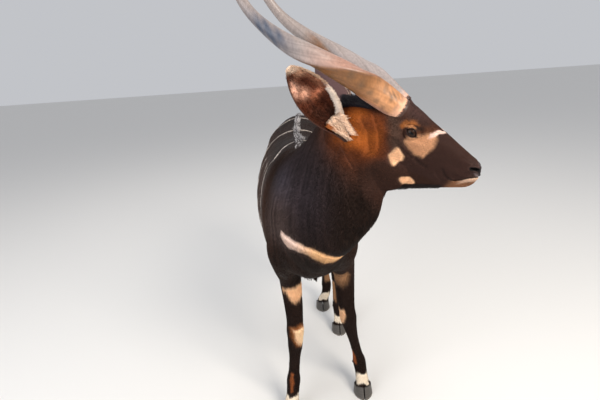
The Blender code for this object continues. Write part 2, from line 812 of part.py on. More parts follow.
def ear_root(side):
    """The swelling of the head that the ear stands in."""
    return ear_stem(side, ((-0.26, 0.034), (-0.14, 0.037), (-0.07, 0.033), (-0.02, 0.018)))


def horn_root(side):
    """The swelling of the brow that the horn stands in."""
    first, second = Vector(HORN_LINE[0]), Vector(HORN_LINE[1])
    along = (second - first).normalized()
    rings = []
    for step, half in ((-0.030, 0.028), (-0.012, 0.035), (0.002, 0.035), (0.010, 0.032)):
        ring = []
        for k in range(16):
            turn = 2 * math.pi * k / 16
            point = first + along * step + Vector((0, 1, 0)) * half * 0.9 * math.cos(turn)
            point += Vector((0, 0, 1)) * half * math.sin(turn)
            ring.append(both(point, side))
        rings.append(ring)
    return loft(rings)


# Hooves and dewclaws

def claw(middle, side_sign):
    """One half hoof: flat sole, upright inner wall, pointed toe, sloping front."""
    half_length = HOOF_LENGTH / 2
    outline = [(-0.96, 0.10), (-0.70, 0.50), (-0.25, 0.86), (0.30, 0.98), (0.75, 0.86),
               (0.98, 0.45), (0.98, 0.04), (0.30, 0.00), (-0.40, 0.00), (-0.90, 0.00)]
    rings = []
    for share in (0.0, 0.10, 0.55, 1.0):
        ring = []
        for along, across in outline:
            y = along * half_length
            y = y * (1 - 0.20 * share) + 0.014 * share
            x = across * CLAW_WIDTH * (1 - 0.10 * share - (0.03 if share == 0 else 0))
            top = CORONET - CORONET_SLOPE * y - GAP / 2
            ring.append(Vector((side_sign * (x + 0.0024), y, SOLE + (top - SOLE) * share)))
        rings.append(ring)
    return moved(loft(rings), Matrix.Translation(middle))


def coronet_plane(hoof):
    """Point and normal of the plane between a leg and its hooves."""
    return Vector((hoof.x, hoof.y, CORONET)), Vector((0, CORONET_SLOPE, 1)).normalized()


def dewclaw(fetlock, side_sign):
    """A small blunt claw behind the fetlock."""
    base = Vector(fetlock) + Vector((side_sign * 0.018, 0.030, -0.018))
    tip = base + Vector((side_sign * 0.005, 0.016, -0.026))
    rings = []
    for share, r in ((-0.25, 0.010), (0.3, 0.0105), (0.75, 0.008), (1.0, 0.003)):
        middle = base.lerp(tip, share)
        rings.append([middle + Vector((r * math.cos(2 * math.pi * k / 8),
                                       r * 0.7 * math.sin(2 * math.pi * k / 8), 0))
                      for k in range(8)])
    return loft(rings)


# Locks of hair

def lock(root, out, lie, length, width, thick, bend=0.8):
    """A flat tapered lock: leaves along `out` and bends over towards `lie`."""
    out, lie = out.normalized(), lie.normalized()
    place = root - out * 0.012
    heading = out
    rings = []
    stations = ((0.0, 0.9), (0.30, 1.0), (0.62, 0.80), (0.86, 0.45), (1.0, 0.10))
    last = 0.0
    for share, size in stations:
        heading = out.lerp(lie, min(bend * share + 0.1, 1)).normalized()
        place = place + heading * (share - last) * (length + 0.012)
        last = share
        flat = out.cross(lie).normalized()
        wide = flat.cross(heading).normalized()
        rings.append([place + flat * thick * size / 2, place + wide * width * size / 2,
                      place - flat * thick * size / 2, place - wide * width * size / 2])
    return loft(rings)


CREST_STEPS = 46                 # places along the trunk, each with one lock
CREST_SPAN = (-0.33, 0.655)
TUFT_LENGTH = 0.135

# Parting cuts

NECK_BASE = (Vector((0.030, -0.475, 1.040)), Vector((0.10, -0.86, 0.50)))
HEAD_BASE = (Vector((-0.104, 0, -0.180)), Vector((0.500, 0, 0.866)))
# The block that holds each leg: height, inner wall, front and back, from the floor upwards,
# and the heights of its sloping top at its front and back
FORE_BLOCKS = {
    "right": ([(-0.10, -0.008, -0.65, -0.13), (0.50, -0.008, -0.65, -0.13)],
              (-0.008, -0.65, -0.13, 0.742, 0.571)),
    "left": ([(-0.10, 0.045, -0.65, -0.13), (0.50, 0.045, -0.65, -0.13)],
             (0.045, -0.65, -0.13, 0.742, 0.571)),
}
HIND_BLOCKS = {
    "right": ([(-0.10, 0.250, 0.35, 0.95), (0.15, 0.250, 0.40, 0.95), (0.25, 0.250, 0.44, 0.95),
               (0.42, 0.250, 0.50, 0.95), (0.50, 0.250, 0.53, 0.95), (0.56, 0.107, 0.42, 0.95),
               (0.60, 0.075, 0.36, 0.95), (0.655, 0.030, 0.30, 0.95)],
              (-0.035, 0.235, 0.95, 0.760, 1.080)),
    "left": ([(-0.10, 0.000, -0.10, 0.34), (0.15, 0.000, -0.10, 0.39), (0.25, 0.000, -0.10, 0.42),
              (0.42, 0.000, 0.00, 0.50), (0.50, 0.100, 0.10, 0.95), (0.56, 0.100, 0.26, 0.95),
              (0.60, 0.085, 0.22, 0.95), (0.655, 0.072, 0.18, 0.95)],
             (0.046, 0.140, 0.95, 0.740, 1.080)),
}


def leg_block(blocks, side, grow):
    """The room that a leg's node is cut from, or with `grow`, that it leaves in the trunk."""
    outer = -0.40 if side == "right" else 0.45
    toward = 1 if side == "right" else -1
    floors, (top_inner, top_front, top_back, front_z, back_z) = blocks[side]
    rings = []
    corners = [(inner, front, back, z, z) for z, inner, front, back in floors]
    corners.append((top_inner, top_front, top_back, front_z + grow, back_z + grow))
    for inner, front, back, low, high in corners:
        inner += toward * grow
        front -= grow
        back += grow
        rings.append([Vector((outer, front, low)), Vector((inner, front, low)),
                      Vector((inner, back, high)), Vector((outer, back, high))])
    shape = bmesh.new()
    block = loft(rings)
    shape.from_mesh(block)
    bmesh.ops.triangulate(shape, faces=shape.faces, quad_method="FIXED")
    shape.to_mesh(block)
    shape.free()
    return block


def grown(mesh, step):
    """A copy swelled evenly, as the cutter that leaves a gap round the piece."""
    mesh = mesh.copy()
    count = len(mesh.vertices)
    places = np.empty(count * 3)
    normals = np.empty(count * 3)
    mesh.vertices.foreach_get("co", places)
    mesh.vertex_normals.foreach_get("vector", normals)
    mesh.vertices.foreach_set("co", places + normals * step)
    mesh.update()
    return mesh


# Whole forms and their nodes

BODY_SWELLS = [
    ((-0.160, -0.480, 0.850), (0.060, 0.060, 0.080), 0.008),
    ((0.180, -0.470, 0.850), (0.060, 0.060, 0.080), 0.008),
    ((-0.165, -0.270, 0.800), (0.060, 0.060, 0.090), 0.008),
    ((0.185, -0.250, 0.800), (0.060, 0.060, 0.090), 0.008),
    ((-0.190, -0.150, 0.740), (0.070, 0.060, 0.120), -0.008),
    ((0.200, -0.150, 0.740), (0.070, 0.060, 0.120), -0.008),
    ((0.030, -0.600, 0.820), (0.060, 0.060, 0.060), 0.006),
    ((-0.215, 0.300, 0.930), (0.080, 0.100, 0.130), -0.014),
    ((0.215, 0.270, 0.930), (0.080, 0.100, 0.130), -0.014),
    ((-0.140, 0.430, 1.160), (0.080, 0.080, 0.060), 0.010),
    ((0.150, 0.430, 1.160), (0.080, 0.080, 0.060), 0.010),
    ((-0.170, 0.560, 0.900), (0.070, 0.110, 0.130), 0.010),
    ((0.190, 0.540, 0.900), (0.070, 0.110, 0.130), 0.010),
    ((0.010, 0.770, 0.980), (0.040, 0.060, 0.160), -0.010),
    ((0.070, -0.640, 1.160), (0.060, 0.060, 0.120), 0.008),
]


def body_flesh():
    """Trunk, neck and legs in one skin."""
    bulk = [trunk_loft(), neck_loft(), moved(head_loft(), HEAD), scrotum()]
    bulk += [blob(centre, radii) for centre, radii in ARMPITS]
    bulk += [form(side) for form in (shoulder, thigh) for side in ("right", "left")]
    slender = [sheath()]
    for side in ("right", "left"):
        slender.append(limb(leg_joints(FORE_JOINTS[side], FORE_HOOVES[side]), FORE_GIRTHS, 60))
        slender.append(limb(leg_joints(HIND_JOINTS[side], HIND_HOOVES[side]), HIND_GIRTHS, 60))
        slender.append(heel_cord(side))
    skin = melted([melted(bulk, FLESH_VOXEL, 0.5, 14)] + slender, FLESH_VOXEL, 0.5, 4)
    return thinned(swelled(skin, BODY_SWELLS), BODY_TRIANGLES)


def head_flesh():
    """Skull, jaws and the top of the neck, in the head's frame."""
    neck = moved(neck_loft(), HEAD.inverted())
    lids = [ball(both(EYE_AT, side), EYE_RADIUS + LID) for side in ("right", "left")]
    roots = [horn_root(side) for side in ("right", "left")]
    ears = [ear_root(side) for side in ("right", "left")]
    jowls = [blob(both(JOWL[0], side), JOWL[1]) for side in ("right", "left")]
    skull = melted([head_loft(), neck] + roots + ears + jowls, HEAD_VOXEL, 0.5, 14)
    skin = melted([skull] + lids, HEAD_VOXEL, 0.5, 3)
    swells = [(both(centre, side), radius, height) for centre, radius, height in HEAD_SWELLS
              for side in ("right", "left")]
    skin = swelled(skin, swells)
    point, normal = HEAD_BASE
    skin = cut(skin, [slab(point, normal)], "DIFFERENCE")
    return thinned(skin, HEAD_TRIANGLES)


def make_head():
    """The head with its sockets, lids, nostrils and mouth, and what it carries. Horns and ears
    end on the skin of the head."""
    head = head_flesh()
    bed = grown(head, GAP)
    tools = [mouth_slot()]
    for side in ("right", "left"):
        socket = ball(both(EYE_AT, side), EYE_RADIUS + GAP)
        tools += [socket, eye_opening(side), nostril_hole(side)]
        horn = cut(loft(horn_sections(side)), [bed.copy()], "DIFFERENCE")
        ear = cut(whole_ear(side), [bed.copy()], "DIFFERENCE")
        node(moved(horn, HEAD), "horn_" + side, "horn", 0.45)
        node(moved(ear, HEAD), "ear_" + side, "ear_skin", 0.8)
        node(moved(ball(both(EYE_AT, side), EYE_RADIUS), HEAD), "eye_" + side, "eye", 0.1)
    for tool in tools:
        head = cut(head, [tool], "DIFFERENCE")
    node(moved(head, HEAD), "head", "coat", 0.8)


def crest_locks():
    """The erect hair along the middle of the back, from the withers to the root of the tail."""
    locks = []
    rows = between(TRUNK_ROWS, CREST_STEPS)
    for i, (y, top, _, _, bend) in enumerate(rows):
        if not CREST_SPAN[0] < y < CREST_SPAN[1]:
            continue
        slope = rows[i + 1][:2] - rows[i - 1][:2]
        out = Vector((0, -slope[1], slope[0])).normalized()
        along = Vector((0, slope[0], slope[1])).normalized()
        sway = 0.10 * math.sin(2.4 * i)
        rise = out + along * 0.25 + Vector((sway - 0.10, 0, 0))
        length = CREST_LENGTH * (0.90 + 0.10 * math.sin(1.7 * i))
        locks.append(lock(Vector((bend, y, top)), rise, along, length, 0.052, 0.014, 0.55))
    return locks


def tuft_locks():
    """The tassel at the end of the tail."""
    locks = []
    for level, (z, count, spread) in enumerate(((0.870, 4, 0.014), (0.815, 5, 0.012),
                                                (0.765, 5, 0.008))):
        for k in range(count):
            turn = 2 * math.pi * k / count + 0.6 * level
            out = Vector((math.cos(turn), math.sin(turn), 0))
            root = Vector((0.030, 0.834, z)) + out * spread
            lie = Vector((0, 0.02, -1)) + out * (0.02 - 0.05 * level)
            locks.append(lock(root, out + Vector((0, 0, -1.5)), lie, TUFT_LENGTH, 0.036, 0.020,
                              1.6))
    return locks


def make_legs(flesh, trunk):
    """Legs, hooves and dewclaws; gives back the trunk without them."""
    for blocks, joints, hooves, end in ((FORE_BLOCKS, FORE_JOINTS, FORE_HOOVES, "fore"),
                                        (HIND_BLOCKS, HIND_JOINTS, HIND_HOOVES, "hind")):
        for side, middle in hooves.items():
            leg = cut(flesh.copy(), [leg_block(blocks, side, 0)], "INTERSECT")
            leg = largest(cut(leg, [slab(*coronet_plane(middle))], "DIFFERENCE"))
            node(leg, "%sleg_%s" % (end, side), "coat", 0.8)
            trunk = cut(trunk, [leg_block(blocks, side, GAP)], "DIFFERENCE")
            for name, sign in (("inner", 1), ("outer", -1)):
                sign = sign if side == "right" else -sign
                place = "%s_%s_%s" % (end, side, name)
                node(claw(middle, sign), "hoof_" + place, "hoof", 0.4)
                spur = cut(dewclaw(joints[side][3], sign), [grown(leg, GAP)], "DIFFERENCE")
                node(spur, "dewclaw_" + place, "hoof", 0.4)
    return trunk


def make_body():
    """Neck, trunk, legs and tail out of one skin."""
    flesh = body_flesh()
    point, normal = HEAD_BASE
    flesh = cut(flesh, [slab(HEAD @ point, HEAD.to_3x3() @ -normal)], "DIFFERENCE")
    point, normal = NECK_BASE
    neck = cut(flesh.copy(), [slab(point, normal)], "DIFFERENCE")
    node(neck, "neck", "neck_coat", 0.8)
    trunk = cut(flesh.copy(), [slab(point, -normal)], "DIFFERENCE")
    trunk = make_legs(flesh, trunk)
    trunk = largest(trunk)
    tail = largest(cut(tail_loft(), [grown(trunk, GAP)], "DIFFERENCE"))
    node(cut(tail, tuft_locks(), "UNION"), "tail", "coat", 0.8)
    node(cut(trunk, crest_locks(), "UNION"), "trunk", "coat", 0.8)


def set_origin():
    """All pieces moved so that the origin is under the middle of the whole animal."""
    places = [vert.co for thing in PARTS.objects for vert in thing.data.vertices]
    low = [min(place[i] for place in places) for i in range(3)]
    high = [max(place[i] for place in places) for i in range(3)]
    shift = Matrix.Translation((-(low[0] + high[0]) / 2, -(low[1] + high[1]) / 2, -low[2]))
    for thing in PARTS.objects:
        thing.data.transform(shift)


def main():
    make_head()
    make_body()
    set_origin()


main()
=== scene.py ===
"""The looks of the bongo antelope: skin, coat, eyes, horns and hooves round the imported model.

Metres, +Z up. The animal faces -Y and its own left is +X. Everything is made in the animal's
own frame, whose origin is on the floor between its feet, and is then moved by SHIFT to the
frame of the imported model. The forms repeat the named sizes of the solids, more finely.
"""

import math

import bmesh
import bpy
import numpy as np
from mathutils import Matrix, Vector


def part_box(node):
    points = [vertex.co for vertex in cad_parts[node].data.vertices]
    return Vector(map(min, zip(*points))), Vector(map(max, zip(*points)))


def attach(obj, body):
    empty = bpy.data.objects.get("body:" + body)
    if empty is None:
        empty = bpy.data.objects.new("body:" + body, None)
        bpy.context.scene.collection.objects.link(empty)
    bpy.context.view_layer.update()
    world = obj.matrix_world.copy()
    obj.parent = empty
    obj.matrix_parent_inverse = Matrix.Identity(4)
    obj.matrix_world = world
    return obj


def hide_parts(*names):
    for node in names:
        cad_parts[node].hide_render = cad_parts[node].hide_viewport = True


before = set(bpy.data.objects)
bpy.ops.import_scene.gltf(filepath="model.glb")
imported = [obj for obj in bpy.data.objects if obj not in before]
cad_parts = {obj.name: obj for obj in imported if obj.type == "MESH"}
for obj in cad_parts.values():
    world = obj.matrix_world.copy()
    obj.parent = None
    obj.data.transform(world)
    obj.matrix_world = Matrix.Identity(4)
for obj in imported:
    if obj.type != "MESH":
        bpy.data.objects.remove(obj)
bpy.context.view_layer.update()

# Driving sizes, as in the solids
WITHERS = 1.240          # height of the back over the shoulders, without the crest
CROUP = 1.255
BELLY = 0.570
KNEE = 0.438
FETLOCK = 0.150
CORONET = 0.050          # height of the hoof's upper rim, in the middle of the hoof
CORONET_SLOPE = 0.30
EYE_RADIUS = 0.0185
EYE_SUNK = 0.0040        # the skin behind the eyeball lies this far inside it
FLESH_VOXEL = 0.006
HEAD_VOXEL = 0.0035
LIMB_STEPS = 8           # points of a limb's path from joint to joint
COAT_DEPTH = 0.003       # the skin lies this far inside the solids
SKIN_VOXEL = 0.0034
SKIN_TRIANGLES = 190000

HEAD_AT = Vector((0.339, -0.740, 1.335))
HEAD_TURN = math.radians(75)
HEAD_DROP = math.radians(28)
HEAD_TILT = math.radians(4)

FORE_HOOVES = {"right": Vector((-0.124, -0.425, 0)), "left": Vector((0.221, -0.325, 0))}
HIND_HOOVES = {"right": Vector((0.082, 0.480, 0)), "left": Vector((0.161, 0.205, 0))}
HOOF_LENGTH = 0.100
CLAW_WIDTH = 0.043
SIDES = ("right", "left")
HAND = {"right": -1, "left": 1}

rng = np.random.default_rng(7)


# Shapes by section

def between(rows, count):
    """The rows of numbers with smooth curves between them, read at `count` even steps."""
    rows = np.array(rows, float)
    ends = np.vstack([2 * rows[0] - rows[1], rows, 2 * rows[-1] - rows[-2]])
    out = []
    for step in np.linspace(0, len(rows) - 1, count):
        i = min(int(step), len(rows) - 2)
        t = step - i
        a, b, c, d = ends[i:i + 4]
        out.append(0.5 * (2 * b + (c - a) * t + (2 * a - 5 * b + 4 * c - d) * t * t
                          + (3 * b - a - 3 * c + d) * t ** 3))
    return np.array(out)


def circle(count):
    """Cosine and sine at even turns round a circle."""
    turns = [2 * math.pi * k / count for k in range(count)]
    return [(math.cos(turn), math.sin(turn)) for turn in turns]


def power(value, exponent):
    return math.copysign(abs(value) ** exponent, value)


def section(upper, lower, side, half_width, widest=0.5, round_up=2.0, round_down=2.0, count=32):
    """A closed rounded section from its upper and lower points."""
    middle = lower + (upper - lower) * widest
    ring = []
    for across, along in circle(count):
        reach, grade = (upper - middle, round_up) if along >= 0 else (middle - lower, round_down)
        ring.append(middle + reach * power(along, 2 / grade)
                    + side * half_width * power(across, 2 / grade))
    return ring


def finished(shape, name):
    """The mesh of a bmesh, which goes."""
    mesh = bpy.data.meshes.new(name)
    shape.to_mesh(mesh)
    shape.free()
    return mesh


def loft(rings):
    """One closed surface through rings of equal length."""
    shape = bmesh.new()
    loops = [[shape.verts.new(point) for point in ring] for ring in rings]
    count = len(rings[0])
    for first, second in zip(loops, loops[1:]):
        for k in range(count):
            n = (k + 1) % count
            shape.faces.new((first[k], first[n], second[n], second[k]))
    shape.faces.new(list(reversed(loops[0])))
    shape.faces.new(loops[-1])
    bmesh.ops.recalc_face_normals(shape, faces=shape.faces)
    if shape.calc_volume(signed=True) < 0:
        bmesh.ops.reverse_faces(shape, faces=shape.faces)
    return finished(shape, "loft")


def body_loft(rows, count, widest=0.5, round_up=2.0, round_down=2.0, sides=32):
    """A loft from rows of: upper point, lower point, half width."""
    rows = between(rows, count)
    uppers = [Vector(row[0:3]) for row in rows]
    lowers = [Vector(row[3:6]) for row in rows]
    middles = [(a + b) / 2 for a, b in zip(uppers, lowers)]
    rings = []
    for i, row in enumerate(rows):
        along = middles[min(i + 1, count - 1)] - middles[max(i - 1, 0)]
        side = along.cross(uppers[i] - lowers[i]).normalized()
        rings.append(section(uppers[i], lowers[i], side, row[6], widest, round_up, round_down,
                             sides))
    return loft(rings)


def limb(joints, girths, count):
    """A limb along its joints, top to bottom. Each girth is: place along the joints, half
    width, reach in front and reach behind."""
    rings = []
    girths = between(girths, count)
    path = between(joints, LIMB_STEPS * (len(joints) - 1) + 1)

    def at(place):
        place = min(max(place, 0), len(joints) - 1) * LIMB_STEPS
        i = min(int(place), len(path) - 2)
        return Vector(path[i] + (path[i + 1] - path[i]) * (place - i))

    for place, half, front, back in girths:
        middle = at(place)
        down = (at(place + 0.15) - at(place - 0.15)).normalized()
        side = Vector((1, 0, 0))
        side = (side - down * side.dot(down)).normalized()
        forward = side.cross(down)
        if forward.y > 0:
            forward = -forward
        rings.append(section(middle + forward * front, middle - forward * back, side, half))
    return loft(rings)


def applied(thing):
    """The object's mesh with its modifiers worked in; the object goes."""
    graph = bpy.context.evaluated_depsgraph_get()
    mesh = bpy.data.meshes.new_from_object(thing.evaluated_get(graph))
    bpy.data.objects.remove(thing, do_unlink=True)
    return mesh


def helper(data, name):
    """An object in the scene for a mesh, a light or a camera."""
    thing = bpy.data.objects.new(name, data)
    bpy.context.scene.collection.objects.link(thing)
    return thing


def joined(meshes):
    """The meshes in one."""
    shape = bmesh.new()
    for mesh in meshes:
        shape.from_mesh(mesh)
    return finished(shape, "joined")


def melted(meshes, voxel, rounds):
    """The closed meshes melted into one skin on a grid, and smoothed."""
    thing = helper(joined(meshes), "melt")
    grid = thing.modifiers.new("grid", "REMESH")
    grid.mode = "VOXEL"
    grid.voxel_size = voxel
    soft = thing.modifiers.new("soft", "SMOOTH")
    soft.factor = 0.5
    soft.iterations = rounds
    return applied(thing)


def vertex_places(mesh):
    places = np.empty(len(mesh.vertices) * 3)
    mesh.vertices.foreach_get("co", places)
    return places.reshape(-1, 3)


def vertex_normals(mesh):
    normals = np.empty(len(mesh.vertices) * 3)
    mesh.vertex_normals.foreach_get("vector", normals)
    return normals.reshape(-1, 3)


def set_places(mesh, places):
    mesh.vertices.foreach_set("co", places.ravel())
    mesh.update()
    return mesh


def swelled(mesh, swells):
    """Muscle, bone and hollows: each swell is a centre, a radius and a height, and pushes the
    skin along its own normal."""
    places = vertex_places(mesh)
    push = np.zeros(len(places))
    for centre, radius, height in swells:
        off = (places - np.array(centre)) / np.array(radius)
        push += height * np.exp(-(off ** 2).sum(axis=1))
    return set_places(mesh, places + vertex_normals(mesh) * push[:, None])


def moved(mesh, matrix):
    """A copy of the mesh, moved."""
    mesh = mesh.copy()
    mesh.transform(matrix)
    return mesh


def ball(radius, segments, rings):
    shape = bmesh.new()
    bmesh.ops.create_uvsphere(shape, u_segments=segments, v_segments=rings, radius=radius)
    return finished(shape, "ball")


def blob(centre, radii):
    """A rounded mass of flesh."""
    return moved(ball(1, 18, 12), Matrix.LocRotScale(Vector(centre), None, Vector(radii)))


# Trunk and neck

# Along the back: y, height of the back, height of the belly, half width, sideways bend
TRUNK_ROWS = [
    (-0.600, WITHERS - 0.290, BELLY + 0.245, 0.060, 0.020),
    (-0.570, WITHERS - 0.200, BELLY + 0.195, 0.115, 0.018),
    (-0.480, WITHERS - 0.080, BELLY + 0.152, 0.165, 0.014),
    (-0.330, WITHERS - 0.008, BELLY + 0.105, 0.192, 0.008),
    (-0.160, WITHERS - 0.010, BELLY + 0.045, 0.206, 0.000),
    (0.050, WITHERS - 0.030, BELLY, 0.226, -0.010),
    (0.250, WITHERS - 0.018, BELLY + 0.012, 0.234, -0.010),
    (0.420, CROUP - 0.010, BELLY + 0.080, 0.214, 0.000),
    (0.580, CROUP - 0.004, BELLY + 0.180, 0.186, 0.012),
    (0.700, CROUP - 0.050, BELLY + 0.290, 0.140, 0.020),
    (0.765, CROUP - 0.130, BELLY + 0.400, 0.070, 0.026),
]
# From the shoulders to the head: nape point, throat point, half width
NECK_ROWS = [
    (0.005, -0.200, 1.190, 0.005, -0.420, 0.680, 0.160),
    (0.004, -0.330, 1.222, 0.030, -0.590, 0.790, 0.160),
    (0.030, -0.440, 1.255, 0.090, -0.680, 0.880, 0.132),
    (0.072, -0.530, 1.330, 0.160, -0.725, 0.965, 0.108),
    (0.125, -0.620, 1.415, 0.226, -0.735, 1.045, 0.086),
    (0.190, -0.680, 1.440, 0.256, -0.722, 1.120, 0.068),
    (0.245, -0.710, 1.410, 0.285, -0.725, 1.170, 0.050),
]


def trunk_loft():
    rows = [(bend, y, top, bend, y, low, half) for y, top, low, half, bend in TRUNK_ROWS]
    return body_loft(rows, 44, widest=0.46, round_up=2.05, round_down=2.1)


def neck_loft():
    return body_loft(NECK_ROWS, 30, widest=0.48, round_up=1.9, round_down=1.9)


# What fills the space between the upper arm and the chest: centre, radii
ARMPITS = [
    ((-0.085, -0.330, 0.800), (0.070, 0.150, 0.125)),
    ((0.105, -0.310, 0.800), (0.080, 0.150, 0.125)),
]

# Legs

FORE_GIRTHS = [
    (0.0, 0.020, 0.060, 0.060),
    (0.2, 0.048, 0.095, 0.110),
    (0.5, 0.056, 0.100, 0.115),
    (1.0, 0.052, 0.070, 0.084),
    (1.35, 0.047, 0.054, 0.058),
    (1.70, 0.041, 0.040, 0.042),
    (1.90, 0.038, 0.036, 0.036),
    (2.00, 0.0400, 0.036, 0.040),
    (2.10, 0.039, 0.034, 0.040),
    (2.25, 0.032, 0.027, 0.034),
    (2.50, 0.0250, 0.022, 0.031),
    (2.80, 0.025, 0.022, 0.032),
    (3.00, 0.0325, 0.029, 0.036),
    (3.25, 0.031, 0.027, 0.031),
    (3.60, 0.031, 0.029, 0.029),
    (3.90, 0.039, 0.040, 0.036),
    (4.00, 0.040, 0.042, 0.038),
]
HIND_GIRTHS = [
    (0.0, 0.070, 0.100, 0.120),
    (0.5, 0.080, 0.120, 0.130),
    (1.0, 0.066, 0.085, 0.110),
    (1.4, 0.050, 0.055, 0.072),
    (1.75, 0.036, 0.038, 0.050),
    (1.92, 0.036, 0.038, 0.050),
    (2.05, 0.036, 0.038, 0.044),
    (2.20, 0.029, 0.030, 0.038),
    (2.50, 0.0235, 0.023, 0.032),
    (2.80, 0.0255, 0.024, 0.033),
    (3.00, 0.032, 0.029, 0.036),
    (3.25, 0.030, 0.027, 0.031),
    (3.60, 0.030, 0.028, 0.029),
    (3.90, 0.037, 0.039, 0.036),
    (4.00, 0.038, 0.041, 0.038),
]
FORE_JOINTS = {
    "right": [(-0.108, -0.430, 0.880), (-0.090, -0.330, 0.690), (-0.080, -0.388, KNEE),
              (-0.107, -0.372, FETLOCK)],
    "left": [(0.125, -0.410, 0.880), (0.152, -0.285, 0.690), (0.161, -0.318, KNEE),
             (0.212, -0.272, FETLOCK)],
}
HIND_JOINTS = {
    "right": [(-0.095, 0.500, 0.950), (-0.070, 0.360, 0.740), (0.075, 0.610, 0.485),
              (0.116, 0.545, FETLOCK)],
    "left": [(0.110, 0.480, 0.950), (0.150, 0.265, 0.770), (0.158, 0.425, 0.480),
             (0.163, 0.268, FETLOCK)],
}
# The flat masses over the joints: height, front, back, half width
THIGH_ROWS = [
    (1.150, 0.460, 0.640, 0.020),
    (1.110, 0.405, 0.700, 0.065),
    (1.000, 0.335, 0.775, 0.098),
    (0.860, 0.265, 0.775, 0.098),
    (0.740, 0.262, 0.720, 0.076),
    (0.650, 0.335, 0.690, 0.050),
    (0.580, 0.430, 0.668, 0.032),
    (0.530, 0.530, 0.655, 0.018),
]
SHOULDER_ROWS = [
    (1.130, -0.330, -0.210, 0.015),
    (1.060, -0.400, -0.190, 0.034),
    (0.940, -0.490, -0.190, 0.044),
    (0.840, -0.540, -0.190, 0.048),
    (0.760, -0.510, -0.215, 0.046),
    (0.690, -0.430, -0.245, 0.042),
    (0.640, -0.390, -0.270, 0.030),
]


def leg_joints(joints, hoof):
    """The joints down to the coronet, which stands a little behind the hoof's middle."""
    return joints + [(hoof.x, hoof.y + 0.012, CORONET - 0.012)]


def thigh(side):
    """The flat mass from the hip to the hock, swung forward with the leg."""
    heights = [-1.0, -0.740, -0.485, -0.400]
    swings = [own[1] - other[1] for own, other in zip(HIND_JOINTS[side], HIND_JOINTS["right"])]
    rows = []
    for z, front, back, half in THIGH_ROWS:
        x = np.interp(-z, heights, [joint[0] for joint in HIND_JOINTS[side]])
        swing = np.interp(-z, heights, swings)
        rows.append((x, front + swing, z, x, back + swing, z, half))
    return body_loft(rows, 22, round_up=2.3, round_down=2.3)


def shoulder(side):
    """The blade and upper arm, flat against the ribs."""
    hand = HAND[side]
    shift = FORE_JOINTS[side][1][1] - FORE_JOINTS["right"][1][1]
    rows = []
    for z, front, back, half in SHOULDER_ROWS:
        x = hand * np.interp(z, [0.64, 0.84, 1.13], [0.098, 0.118, 0.122])
        if side == "left":
            x += np.interp(z, [0.64, 0.84, 1.13], [0.030, 0.036, 0.020])
        reach = shift * np.interp(z, [0.64, 1.0], [1.0, 0.0])
        rows.append((x, front + reach, z, x, back + reach, z, half))
    return body_loft(rows, 20, round_up=2.2, round_down=2.2)


def heel_cord(side):
    """The cord from the back of the thigh down to the point of the hock."""
    stifle, hock = Vector(HIND_JOINTS[side][1]), Vector(HIND_JOINTS[side][2])
    top = stifle.lerp(hock, 0.35) + Vector((0, 0.075, 0.020))
    point = hock + Vector((0, 0.052, 0.052))
    foot = hock + Vector((0, 0.030, -0.030))
    rows = []
    for middle, half, deep in ((top, 0.020, 0.034), (top.lerp(point, 0.6), 0.0125, 0.016),
                               (point, 0.0165, 0.020), (foot, 0.018, 0.020)):
        across = Vector((0, deep * 0.8, deep * 0.5))
        rows.append((*(middle - across), *(middle + across), half))
    return body_loft(rows, 12)


# Sheath and scrotum of the male, under the belly

def sheath():
    rows = [
        (0.000, 0.220, 0.640, 0.000, 0.200, 0.578, 0.040),
        (0.008, 0.080, 0.620, 0.012, 0.070, 0.540, 0.037),
        (0.020, -0.005, 0.600, 0.028, -0.028, 0.482, 0.027),
        (0.030, -0.035, 0.550, 0.040, -0.052, 0.452, 0.013),
    ]
    return body_loft(rows, 14)


def scrotum():
    rows = [
        (0.040, 0.420, 0.760, 0.040, 0.530, 0.780, 0.030),
        (0.042, 0.420, 0.700, 0.042, 0.520, 0.705, 0.030),
        (0.043, 0.430, 0.655, 0.043, 0.510, 0.655, 0.030),
        (0.044, 0.450, 0.625, 0.044, 0.490, 0.625, 0.018),
    ]
    return body_loft(rows, 12)


# Tail

TAIL_ROWS = [
    (0.020, 0.690, 1.225, 0.020, 0.680, 1.130, 0.036),
    (0.024, 0.765, 1.175, 0.024, 0.735, 1.110, 0.034),
    (0.028, 0.830, 1.090, 0.028, 0.785, 1.065, 0.024),
    (0.030, 0.850, 0.980, 0.030, 0.812, 0.965, 0.018),
    (0.030, 0.850, 0.850, 0.030, 0.820, 0.845, 0.014),
    (0.030, 0.845, 0.740, 0.030, 0.822, 0.740, 0.010),
]


def tail_loft():
    return body_loft(TAIL_ROWS, 18, sides=12)


# Head, in its own frame

